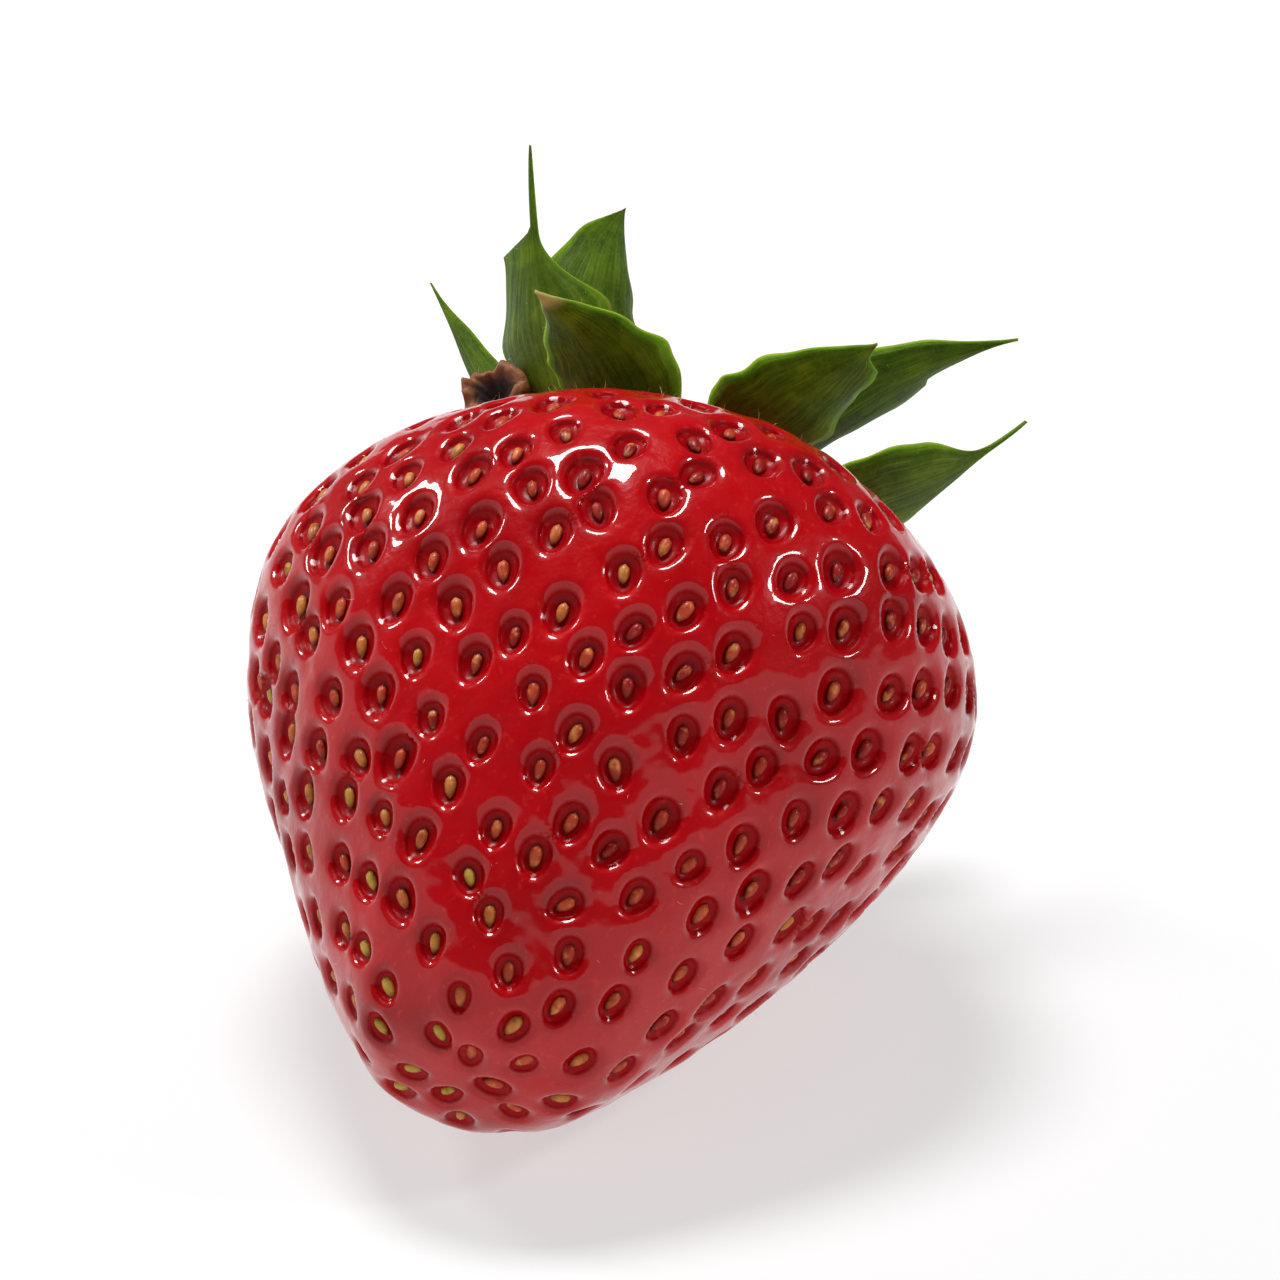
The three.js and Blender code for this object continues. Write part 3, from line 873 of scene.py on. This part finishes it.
def leaf_mesh(leaf, number):
    """A closed shell: columns across the stalk side, then back across the fruit side."""
    wave = np.random.default_rng(100 + number).uniform(0, 2 * math.pi, 4)
    walk = midrib(leaf, LEAF_STEPS)
    points, veins_at, sides_at, uv_at = [], [], [], []
    columns = np.linspace(-1, 1, LEAF_COLUMNS)
    ring = [(u, 1) for u in columns] + [(u, -1) for u in columns[::-1][1:-1]]
    for step, (centre, across, face, along) in enumerate(walk):
        s = step / LEAF_STEPS
        inner = min(max(s, 0.004), 0.996)
        for u, side in ring:
            half = half_width(leaf, inner, u if u else 1e-9)
            rounded = math.sqrt(max(0, 1 - abs(u) ** 5))
            thick = BLADE_THICKNESS / 2 * (1 - 0.55 * inner) * (0.22 + 0.78 * rounded) * 0.8
            vein = max(math.exp(-((u - v) / (0.07 if v else 0.10)) ** 2) *
                       (1.0 if v == 0 else 0.55) for v in VEINS) * (1 - inner) ** 0.35
            # The ribs stand out a little more under the leaf.
            rib = vein * (0.10 if side < 0 else 0.09)
            curl = 0.30 * math.sin(9 * inner + wave[0] + 1.5 * u) * abs(u) ** 2 * (half / 4)
            curl += 0.22 * math.sin(17 * inner + wave[1]) * abs(u) ** 3 * (half / 4)
            bow = half * leaf["cup"] * u * u + curl
            points.append(centre + across * half * u + face * (bow + side * (thick + rib)))
            veins_at.append(vein)
            sides_at.append(1.0 if side > 0 else 0.0)
            uv_at.append((u, s))
    count = len(ring)
    faces = []
    for step in range(LEAF_STEPS):
        a, b = step * count, (step + 1) * count
        for k in range(count):
            j = (k + 1) % count
            faces.append((a + k, b + k, b + j, a + j))
    root_centre, tip_centre = len(points), len(points) + 1
    points += [walk[0][0], walk[-1][0]]
    veins_at += [0.5, 0.0]
    sides_at += [0.5, 0.5]
    uv_at += [(0, 0), (0, 1)]
    last = LEAF_STEPS * count
    for k in range(count):
        j = (k + 1) % count
        faces.append((root_centre, k, j))
        faces.append((tip_centre, last + j, last + k))
    return np.array(points), faces, veins_at, sides_at, np.array(uv_at)


leaf_pieces = {}
for number, leaf in enumerate(LEAVES):
    points, faces, vein, side, uv = leaf_mesh(leaf, number)
    piece = make_object("leaf_" + leaf["name"], to_world(points), faces)
    for label, values in (("vein", vein), ("stalk_side", side), ("across_leaf", uv[:, 0]),
                          ("along_leaf", uv[:, 1])):
        add_values(piece, label, values)
    for label, default in (("dry_tip", 0), ("rusty_root", 0.15)):
        add_values(piece, label, np.full(len(points), float(leaf.get(label, default))))
    leaf_pieces[leaf["name"]] = piece
print(len(leaf_pieces), "leaves, each of", len(faces), "faces")

# %% [markdown]
# ### The leaves' finish
#
# The side of a leaf that faces the fruit is dark and waxy. The side that faces the stalk is
# paler and dull, with fine hairs. Both have pale veins and a thin pale edge. Older parts go
# rusty near the root, and one tip has dried to straw.

# %% Leaf material
draw = Finish(
    "leaf_green", Subsurface_Weight=0.22, Subsurface_Radius=(0.5, 1.0, 0.15),
    Subsurface_Scale=0.0009, Specular_IOR_Level=0.06)
side = draw.attribute("stalk_side")
along_leaf, across_leaf = draw.attribute("along_leaf"), draw.attribute("across_leaf")
fruit_green = blotch(draw, (66, 92, 8), (40, 62, 4), (100, 126, 16), 420.0, 0.8)
pale_green = blotch(draw, (92, 120, 16), (64, 90, 8), (126, 150, 40), 420.0, 0.7)
green = draw.mix(side, fruit_green, pale_green)
green = draw.mix(draw.attribute("vein"), green, (122, 138, 44), share=0.34)
# Long streaks run with the veins.
lengthwise = draw.node("ShaderNodeCombineXYZ", {0: draw.math("MULTIPLY", across_leaf, 9.0),
                                                1: draw.math("MULTIPLY", along_leaf, 2.2)})
streak = draw.noise(1.6, 5.0, 0.6, lengthwise.outputs[0])
green = draw.mix(draw.span(streak, 0.52, 0.34), green, (40, 56, 8), share=0.55)
green = draw.mix(draw.span(streak, 0.54, 0.72), green, (128, 148, 48), share=0.35)
net = draw.node("ShaderNodeTexVoronoi", {"Vector": draw.place(), "Scale": 1500.0},
                feature="DISTANCE_TO_EDGE").outputs["Distance"]
green = draw.mix(draw.span(net, 0.10, 0.0), green, (120, 132, 48), share=0.14)
rusty = draw.math("MULTIPLY", draw.span(along_leaf, 0.55, 0.05),
                  draw.span(draw.noise(260.0), 0.36, 0.58))
green = draw.mix(rusty, green, (134, 76, 14), share=draw.attribute("rusty_root"))
edge = draw.span(draw.math("ABSOLUTE", across_leaf), 0.94, 1.0)
green = draw.mix(edge, green, (158, 168, 70), share=0.30)
green = draw.mix(draw.span(along_leaf, 0.93, 1.0), green, (92, 62, 26), share=0.6)
green = draw.mix(draw.span(along_leaf, 0.84, 0.93), green, (176, 158, 96),
                 share=draw.attribute("dry_tip"))
draw.set("Base Color", green)
draw.set("Roughness", draw.mix(side, (0.40, 0.40, 0.40, 1), (0.62, 0.62, 0.62, 1)))
fine = draw.bump(draw.span(net, 0.0, 0.16), 0.10, 0.0001)
ribbed = draw.bump(streak, 0.5, 0.0003, fine)
draw.set("Normal", draw.bump(draw.noise(1400.0, 3.0), 0.18, 0.0002, ribbed))
for piece in leaf_pieces.values():
    piece.data.materials.append(draw.material)

# %% [markdown]
# ## The collar
#
# Where the leaves join, they fuse into a shallow dish around the stalk. It is a disc whose
# underside follows the flesh. Fine grooves run from its middle to each leaf, and its rim runs out
# over each leaf's root.

# %% Shape of the collar
COLLAR_RINGS, COLLAR_SEGMENTS = 40, 180
LOBE_LENGTH = 1.7  # millimetres that the rim runs out over a leaf's root
GROOVE_WIDTH, LOBE_WIDTH = 0.10, 0.21  # radians to each side of a leaf


def collar_mesh():
    """Rings from the hub out under the disc to its rim, then back over it to the hub."""
    points, groove_at, outward_at = [], [], []
    rooted = [leaf for leaf in LEAVES if not leaf.get("on_top")]
    leaf_angles = -np.radians([leaf["around"] for leaf in rooted])
    starts = [midrib(leaf, LEAF_STEPS)[0] for leaf in rooted]
    leaf_ways = np.array([start[3] for start in starts])
    leaf_heights = np.array([start[0][2] for start in starts]) - (
        rim_height + GAP + COLLAR_THICKNESS / 2)
    for ring in range(1, COLLAR_RINGS):
        s = ring / COLLAR_RINGS
        under = s <= 0.5
        outward = s / 0.5 if under else (1 - s) / 0.5
        angle = 2 * np.pi * np.arange(COLLAR_SEGMENTS) / COLLAR_SEGMENTS
        base = berry_points(np.full(COLLAR_SEGMENTS, shoulder_at(COLLAR_RADIUS * outward)[0]),
                            angle)
        rounded = math.sqrt(1 - outward ** 4)
        apart = np.abs((angle[:, None] - leaf_angles[None] + np.pi) % (2 * np.pi) - np.pi)
        groove = np.exp(-(apart.min(1) / GROOVE_WIDTH) ** 2) * outward
        # A lobe of the rim runs out over the root of each leaf and fuses with it.
        nearest_leaf = apart.argmin(1)
        lobe = np.exp(-(apart.min(1) / LOBE_WIDTH) ** 4) * bend_range(outward, 0.55, 1.0)
        way = leaf_ways[nearest_leaf] * LOBE_LENGTH
        way[:, 2] += leaf_heights[nearest_leaf]
        fibre = 0.06 * np.sin(24 * angle) * outward
        height = base[:, 2] + GAP + COLLAR_THICKNESS / 2
        if under:
            height = height - COLLAR_THICKNESS / 2 * rounded
        else:
            height = height + COLLAR_THICKNESS / 2 * rounded - FUNNEL_DEPTH * (1 - outward ** 2)
            height = height - 0.22 * (1 - groove) * outward * rounded + fibre * rounded
        points.append(np.stack([base[:, 0], base[:, 1], height], -1) + way * lobe[:, None])
        groove_at.append(groove)
        outward_at.append(np.full(COLLAR_SEGMENTS, outward))
    bottom = [hub_point[0], hub_point[1], hub_point[2] + GAP]
    top = [hub_point[0], hub_point[1], hub_point[2] + GAP + COLLAR_THICKNESS - FUNNEL_DEPTH]
    points = np.concatenate([np.concatenate(points), [bottom, top]])
    grooves = np.concatenate([np.concatenate(groove_at), [0, 0]])
    outwards = np.concatenate([np.concatenate(outward_at), [0, 0]])
    faces = closed_tube_faces(COLLAR_RINGS - 1, COLLAR_SEGMENTS, len(points) - 2,
                              len(points) - 1)
    return points, faces, grooves, outwards


points, faces, grooves, outwards = collar_mesh()
collar = make_object("collar", to_world(points), faces)
add_values(collar, "groove", grooves)
add_values(collar, "outward_share", outwards)
print("the collar has", len(faces), "faces")

# %% Collar material
draw = Finish("collar_green", Subsurface_Weight=0.05, Subsurface_Scale=0.0006)
outward = draw.attribute("outward_share")
green = blotch(draw, (118, 142, 48), (88, 112, 24), (150, 166, 84), 500.0, 0.8)
green = draw.mix(draw.span(outward, 0.45, 0.95), green, (92, 120, 16))
green = draw.mix(draw.attribute("groove"), green, (116, 134, 44), share=0.5)
green = draw.mix(draw.span(outward, 0.55, 0.12), green, (112, 74, 30), share=0.75)
draw.set("Base Color", green)
draw.set_roughness(800.0, 0.55, 0.75)
draw.set("Normal", draw.bump(draw.noise(1800.0, 4.0), 0.3, 0.0002))
collar.data.materials.append(draw.material)

# %% [markdown]
# ## The dried stalk
#
# When a strawberry is picked, its stalk snaps a finger's width from the calyx and dries. The
# broken end shrivels into a brown, ragged trumpet. The tube is swept along a bent line, with
# lengthwise folds that deepen towards the end and a rim that is uneven.

# %% The stalk's route
STALK_RADIUS, STALK_OVERHANG, STALK_LIFT = 1.3, 3.8, 11
END_FLARE, PIT_DEPTH = 1.4, 1.6
OVER_RIM, AT_END = 176, 148
over_rim_reach, end_reach = (collar_reach_at(-math.radians(turn)) + STALK_RADIUS
                             for turn in (OVER_RIM, AT_END))
# Along the stalk: distance from the hub, lift over the shoulder's slope and turn, in degrees.
STALK_ROUTE = [(0, 0, 172), (0.8, STALK_LIFT + 51, 172),
               (over_rim_reach + 0.5, STALK_LIFT + 3, OVER_RIM),
               (end_reach + STALK_OVERHANG, STALK_LIFT, AT_END)]
stalk_base = hub_point[2] + GAP + COLLAR_THICKNESS - FUNNEL_DEPTH + GAP


def stalk_line(samples=400):
    """A smooth line through the route, as a centripetal Catmull-Rom curve."""
    knots = [np.array([hub_point[0] + out * math.cos(-math.radians(turn)),
                       hub_point[1] + out * math.sin(-math.radians(turn)),
                       stalk_base + out * math.tan(SHOULDER_SLOPE + math.radians(lift))])
             for out, lift, turn in STALK_ROUTE]
    knots = [2 * knots[0] - knots[1]] + knots + [2 * knots[-1] - knots[-2]]
    line = []
    for k in range(1, len(knots) - 2):
        p = knots[k - 1:k + 3]
        d = [max(1e-6, np.linalg.norm(p[i + 1] - p[i]) ** 0.5) for i in range(3)]
        m1 = (p[1] - p[0]) / d[0] - (p[2] - p[0]) / (d[0] + d[1]) + (p[2] - p[1]) / d[1]
        m2 = (p[2] - p[1]) / d[1] - (p[3] - p[1]) / (d[1] + d[2]) + (p[3] - p[2]) / d[2]
        m1, m2 = m1 * d[1], m2 * d[1]
        for x in np.linspace(0, 1, samples // 3, endpoint=False):
            line.append((2 * x ** 3 - 3 * x ** 2 + 1) * p[1] + (x ** 3 - 2 * x ** 2 + x) * m1
                        + (-2 * x ** 3 + 3 * x ** 2) * p[2] + (x ** 3 - x ** 2) * m2)
    line.append(knots[-2])
    line = np.array(line)
    length = np.concatenate([[0], np.cumsum(np.linalg.norm(np.diff(line, axis=0), axis=1))])
    return line, length


stalk_curve, stalk_lengths = stalk_line()
print("the stalk is", round(float(stalk_lengths[-1]), 1), "mm long")


# %% Shape of the stalk
def stalk_at(share):
    """Point and direction at a share of the stalk's length."""
    where = share * stalk_lengths[-1]
    at = lambda w: np.array([np.interp(w, stalk_lengths, stalk_curve[:, k]) for k in range(3)])
    direction = at(min(where + 0.2, stalk_lengths[-1])) - at(max(where - 0.2, 0))
    return at(where), direction / np.linalg.norm(direction)


def uneven(angle, rng, low, high):
    """A closed irregular wave around a turn, from -1 to 1: many waves with random crests."""
    wave = sum(rng.uniform(0.5, 1) / k ** 0.6 * np.sin(k * angle + rng.uniform(0, 2 * math.pi))
               for k in range(low, high))
    return wave / np.abs(wave).max()


def stalk_mesh():
    """The outside of the tube from its foot to its rim, then the hollow from the rim down."""
    around = 64
    rng = np.random.default_rng(5)
    fold = rng.uniform(0, 2 * math.pi, 4)
    angle = 2 * np.pi * np.arange(around) / around
    ragged = 0.6 * uneven(angle, rng, 1, 5) + 0.4 * uneven(angle, rng, 5, 14)
    folds = uneven(angle, rng, 2, 8)
    inner_folds = uneven(angle, rng, 2, 9)
    rings = []
    outside = np.linspace(0, 1, 46)
    for share in outside:
        centre, direction = stalk_at(share)
        flare = (END_FLARE - 1) * share ** 3 + 0.16 * bend_range(share, 0.7, 0.95)
        radius = STALK_RADIUS * (1 + flare)
        radius *= 1 - 0.10 * bend_range(share, 0.955, 1.0)  # the rim curls in again
        crease = 0.08 + 0.10 * share ** 2
        wrinkle = 1 + crease * folds + 0.025 * np.sin(38 * share + 2 * angle + fold[0])
        # The ragged rim: the last part of the tube is longer on some sides than on others.
        stretch = ragged * 0.75 * bend_range(share, 0.75, 1.0)
        rings.append((centre, direction, radius * wrinkle, stretch, 1.0, share))
    for k, inside in enumerate(np.linspace(0.86, 0.12, 12)):
        down = k / 11
        centre, direction = stalk_at(1 - PIT_DEPTH / stalk_lengths[-1] * down)
        radius = STALK_RADIUS * END_FLARE * inside * (0.94 - 0.1 * down)
        wrinkle = 1 + 0.12 * (inner_folds * down + folds * (1 - down)) * (1 - 0.4 * down)
        rings.append((centre, direction, radius * wrinkle, ragged * 0.70 * (1 - down) ** 2, 0.0,
                      1 - 0.2 * down))
    points, outside_at, along_at = [], [], []
    for centre, direction, radius, stretch, is_outside, share in rings:
        side = np.cross(direction, [0.3, 0.9, 0.2])
        side /= np.linalg.norm(side)
        front = np.cross(direction, side)
        points.append(centre + radius[:, None] * (np.cos(angle)[:, None] * side
                                                  + np.sin(angle)[:, None] * front)
                      + stretch[:, None] * direction)
        outside_at += [is_outside] * around
        along_at += [share] * around
    points = np.concatenate(points)
    first, last = len(points), len(points) + 1
    points = np.concatenate([points, [stalk_at(0)[0], stalk_at(
        1 - PIT_DEPTH / stalk_lengths[-1])[0]]])
    faces = closed_tube_faces(len(rings), around, first, last)
    return points, faces, outside_at + [1.0, 0.0], along_at + [0.0, 0.8]


points, faces, outside, along = stalk_mesh()
stalk = make_object("stalk_dried", to_world(points), faces)
add_values(stalk, "outside", outside)
add_values(stalk, "along_stalk", along)
print("the stalk has", len(faces), "faces")

# %% Stalk material
draw = Finish("stalk_brown", Coat_Weight=0.1, Coat_Roughness=0.4)
along = draw.attribute("along_stalk")
dry = blotch(draw, (80, 34, 10), (38, 13, 4), (132, 72, 24), 900.0, 0.9)
tone = draw.mix(draw.span(along, 0.05, 0.55), (120, 124, 52), dry)
tone = draw.mix(draw.span(along, 0.93, 0.995), tone, (158, 92, 34), share=0.5)
# Painted shade: inside the hollow end the brown turns nearly black.
inside = draw.math("SUBTRACT", 1.0, draw.attribute("outside"))
tone = draw.mix(inside, tone, (34, 10, 4), share=draw.span(along, 0.99, 0.90))
draw.set("Base Color", tone)
draw.set_roughness(900.0, 0.5, 0.8)
draw.set("Normal", draw.bump(draw.noise(1600.0, 5.0), 0.5, 0.0003))
stalk.data.materials.append(draw.material)

# %% [markdown]
# ## Fine hairs
#
# Short pale hairs stand on the shoulder around the calyx, on the leaves and on the stalk, and
# catch the light along their outlines. One tree scatters a thin spike on any mesh: its Density
# comes from a number stored on the mesh, and a fixed seed keeps each run the same.

# %% One hair
HAIR_RADIUS, HAIR_LEAN = 0.02, 0.35  # as shares of its length


def spike():
    """A thin three-sided spike, one millimetre long, that bends over a little."""
    sides, rings = 3, 4
    points = []
    for ring in range(rings):
        s = ring / rings
        lean = HAIR_LEAN * s * s
        for k in range(sides):
            angle = 2 * math.pi * k / sides
            points.append((HAIR_RADIUS * (1 - s) * math.cos(angle) + lean,
                           HAIR_RADIUS * (1 - s) * math.sin(angle), s))
    points.append((HAIR_LEAN, 0, 1.0))
    faces = [(0, 2, 1)]
    faces += tube_faces(rings, sides)
    base = (rings - 1) * sides
    faces += [(base + k, base + (k + 1) % sides, rings * sides) for k in range(sides)]
    return np.array(points) * MM, faces


hair_points, hair_faces = spike()
one_hair = make_object("one_hair", hair_points, hair_faces)
print("one hair has", len(hair_faces), "faces")

# %% The tree that scatters hairs
hairs = Tree("scatter hairs", Hair="Object", Density="Float", Length="Float", Seed="Int",
             Material="Material")
dense = hairs.math("MULTIPLY", hairs.value("Density"), hairs.read("hairiness"))
spread = hairs.node("GeometryNodeDistributePointsOnFaces",
                    {"Mesh": hairs.value("Geometry"), "Density": dense,
                     "Seed": hairs.value("Seed")}, distribute_method="RANDOM")
any_turn = hairs.node("FunctionNodeRandomValue",
                      {"Min": (-0.5, -0.5, 0.0), "Max": (0.5, 0.5, 6.283),
                       "Seed": hairs.value("Seed")}, data_type="FLOAT_VECTOR")
upright_turn = hairs.node("FunctionNodeAlignRotationToVector",
                          {"Vector": spread.outputs["Normal"]}, axis="Z")
leaning = hairs.node("FunctionNodeRotateRotation",
                     {"Rotation": upright_turn.outputs[0],
                      "Rotate By": hairs.node("FunctionNodeEulerToRotation",
                                              {"Euler": any_turn.outputs[0]}).outputs[0]},
                     rotation_space="LOCAL")
any_size = hairs.node("FunctionNodeRandomValue", {2: 0.55, 3: 1.15,
                                                  "Seed": hairs.value("Seed")},
                      data_type="FLOAT")
length = hairs.math("MULTIPLY", any_size.outputs[1], hairs.value("Length"))
instances = hairs.node("GeometryNodeInstanceOnPoints",
                       {"Points": spread.outputs["Points"], "Instance": hairs.shape_of("Hair"),
                        "Rotation": leaning.outputs[0], "Scale": length})
hairs.close_copies(instances.outputs["Instances"])

# %% Hair material
draw = Finish("hair_pale", Subsurface_Weight=0.0)
draw.set("Base Color", blotch(draw, (226, 220, 178), (200, 186, 132), (244, 240, 214),
                              600.0, 0.8))
draw.set_roughness(2000.0, 0.35, 0.5)
hair_pale = draw.material

# %% How hairy each piece is
def read_values(piece, name):
    attribute = piece.data.attributes[name]
    values = np.empty(len(attribute.data), np.float32)
    attribute.data.foreach_get("value", values)
    return values


HAIRLESS_HEIGHT = 0.0015  # metres over the floor where the first hairs stand
skin_up = read_values(berry_skin, "towards_calyx")
pit_place = np.empty(len(berry_skin.data.vertices) * 3, np.float32)
berry_skin.data.attributes["pit_place"].data.foreach_get("vector", pit_place)
skin_ridge = np.clip(np.hypot(*pit_place.reshape(-1, 3)[:, :2].T) / 0.9 - 1.1, 0, 1)
skin_hairs = bend_range(skin_up, 0.70, 0.86) * (0.35 + skin_ridge) + 0.05 * skin_ridge
skin_hairs *= co[:, 2] > HAIRLESS_HEIGHT
add_values(berry_skin, "hairiness", skin_hairs)
hair_sets = [grow(berry_skin, hairs, "berry_hairs", Hair=one_hair, Density=900000.0,
                  Length=0.62, Seed=3, Material=hair_pale)]
for number, (name, piece) in enumerate(leaf_pieces.items()):
    near_edge = np.abs(read_values(piece, "across_leaf")) ** 4
    add_values(piece, "hairiness", 0.05 * read_values(piece, "stalk_side") + 0.3 * near_edge)
    hair_sets.append(grow(piece, hairs, "hairs_" + name, Hair=one_hair, Density=1100000.0,
                          Length=0.42, Seed=20 + number, Material=hair_pale))
for name, piece, amount, seed in (("collar", collar, 0.35, 50), ("stalk", stalk, 0.6, 51)):
    mask = read_values(piece, "outside" if name == "stalk" else "outward_share")
    add_values(piece, "hairiness", amount * mask)
    hair_sets.append(grow(piece, hairs, "hairs_" + name, Hair=one_hair, Density=1200000.0,
                          Length=0.55, Seed=seed, Material=hair_pale))

# %% [markdown]
# ## The scene around it
#
# The fruit lies on a pale surface in soft light. Three small oval lamps, above, on the right
# and behind on the left, draw the hard little arcs on the lips of the pits, and the pale room
# fills the shadows. Far from the fruit the floor turns into the colour of the background, so
# that no horizon line shows.

# %% Floor
FLOOR_RADIUS = 6.0
FLOOR_SIDES = 64
floor_rings = [0.05, 0.1, 0.2, 0.4, 0.8, 1.6, 3.0, FLOOR_RADIUS]
floor_turns = np.linspace(0, 2 * math.pi, FLOOR_SIDES, endpoint=False)
floor_points = [(0, 0, 0)] + [(r * math.cos(a), r * math.sin(a), 0)
                              for r in floor_rings for a in floor_turns]
floor_faces = [(0, 1 + k, 1 + (k + 1) % FLOOR_SIDES) for k in range(FLOOR_SIDES)]
floor_faces += [face[::-1] for face in tube_faces(len(floor_rings), FLOOR_SIDES, start=1)]
floor = make_object("floor", floor_points, floor_faces)
BACKGROUND = (0.86, 0.86, 0.87, 1.0)
draw = Finish("floor_pale", Roughness=0.55, Specular_IOR_Level=0.3, Emission_Strength=1.0)
far = draw.span(draw.vector_math("LENGTH", draw.place()), 0.12, 0.8)
draw.set("Base Color", draw.mix(far, (0.37, 0.37, 0.37, 1), (0, 0, 0, 1)))
draw.set("Emission Color", draw.mix(far, (0.55, 0.55, 0.55, 1), BACKGROUND))
floor.data.materials.append(draw.material)

# %% Background
PALE, DIM = BACKGROUND, (0.05, 0.05, 0.055, 1.0)
world = bpy.data.worlds.new("pale room")
bpy.context.scene.world = world
world.use_nodes = True
draw = Shader(world.node_tree)
look = draw.node("ShaderNodeTexCoord").outputs["Generated"]
# The pale part reaches higher in front of the fruit than behind it.
height = draw.vector_math("DOT_PRODUCT", look, (0.15, 0.4, 0.9))
ceiling = draw.span(height, 0.22, 0.30)
draw.feed(draw.mix(ceiling, PALE, DIM), world.node_tree.nodes["Background"].inputs["Color"])

# %% Lamps
TARGET = Vector((0.0, -0.004, 0.019))


def softbox(name, azimuth, elevation, distance, size, brightness):
    """An oval lamp that looks at the fruit, as bright as that many times white paper.
    Azimuth 0 is at the tip's end and 90 is to the right."""
    turn, tilt = math.radians(azimuth), math.radians(elevation)
    away = Vector((math.sin(turn) * math.cos(tilt), -math.cos(turn) * math.cos(tilt),
                   math.sin(tilt)))
    data = bpy.data.lights.new(name, "AREA")
    data.shape = "ELLIPSE"
    data.size, data.size_y = size
    area = math.pi / 4 * size[0] * size[1]
    data.energy = math.pi * area * brightness
    lamp = place_object(name, data)
    lamp.location = TARGET + away * distance
    lamp.rotation_euler = (-away).to_track_quat("-Z", "Y").to_euler()
    lamp.visible_camera = False


LAMP_DISTANCE = 0.45
softbox("above", 200, 68, LAMP_DISTANCE, (0.19, 0.125), 34)
softbox("right", 84, 38, LAMP_DISTANCE, (0.085, 0.08), 35)
softbox("behind_left", 236, 34, LAMP_DISTANCE, (0.10, 0.068), 35)

# %% [markdown]
# ## The camera
#
# A long lens from a little way off keeps the fruit's outline undistorted. It looks down on the
# tip end by about 28 degrees.

# %% Camera
CAMERA_ELEVATION = math.radians(28)
CAMERA_DISTANCE = 1.1
FRAME_WIDTH = 0.0756  # metres across the picture at the fruit
SENSOR_WIDTH = 36.0  # millimetres
LENS = SENSOR_WIDTH * CAMERA_DISTANCE / FRAME_WIDTH
camera = place_object("camera", bpy.data.cameras.new("camera"))
bpy.context.scene.camera = camera
camera.data.lens = LENS
camera.data.sensor_width = SENSOR_WIDTH
camera.data.clip_start = 0.01
aim = Vector((0.0, 0.0, 0.0205))
back = Vector((0, -math.cos(CAMERA_ELEVATION), math.sin(CAMERA_ELEVATION)))
camera.location = aim + back * CAMERA_DISTANCE
camera.rotation_euler = (-back).to_track_quat("-Z", "Y").to_euler()
bpy.context.scene.view_settings.view_transform = "Standard"
print("the lens is", round(LENS), "mm long")

# %% [markdown]
# ## Hand the pieces over
#
# Last, the scratch shapes are removed, every piece is attached to one body, and the parts of
# the engineering model that the pieces stand for are hidden. Everything here is one body,
# because a picked strawberry has no moving part.

# %% Attach the pieces and hide the parts they stand for
discard(skin_base, achene_places, one_seed, one_hair)


def hand_over(piece, slot, *nodes):
    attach(piece, "root")
    if nodes:
        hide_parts(*nodes)


hand_over(berry_skin, "berry_skin", "berry")
hand_over(achenes, "berry_skin")
for name, piece in leaf_pieces.items():
    hand_over(piece, "leaf_green", name)
hand_over(collar, "collar_green", "calyx_collar")
hand_over(stalk, "stalk_brown", "stalk")
for piece in hair_sets:
    hand_over(piece, "leaf_green")
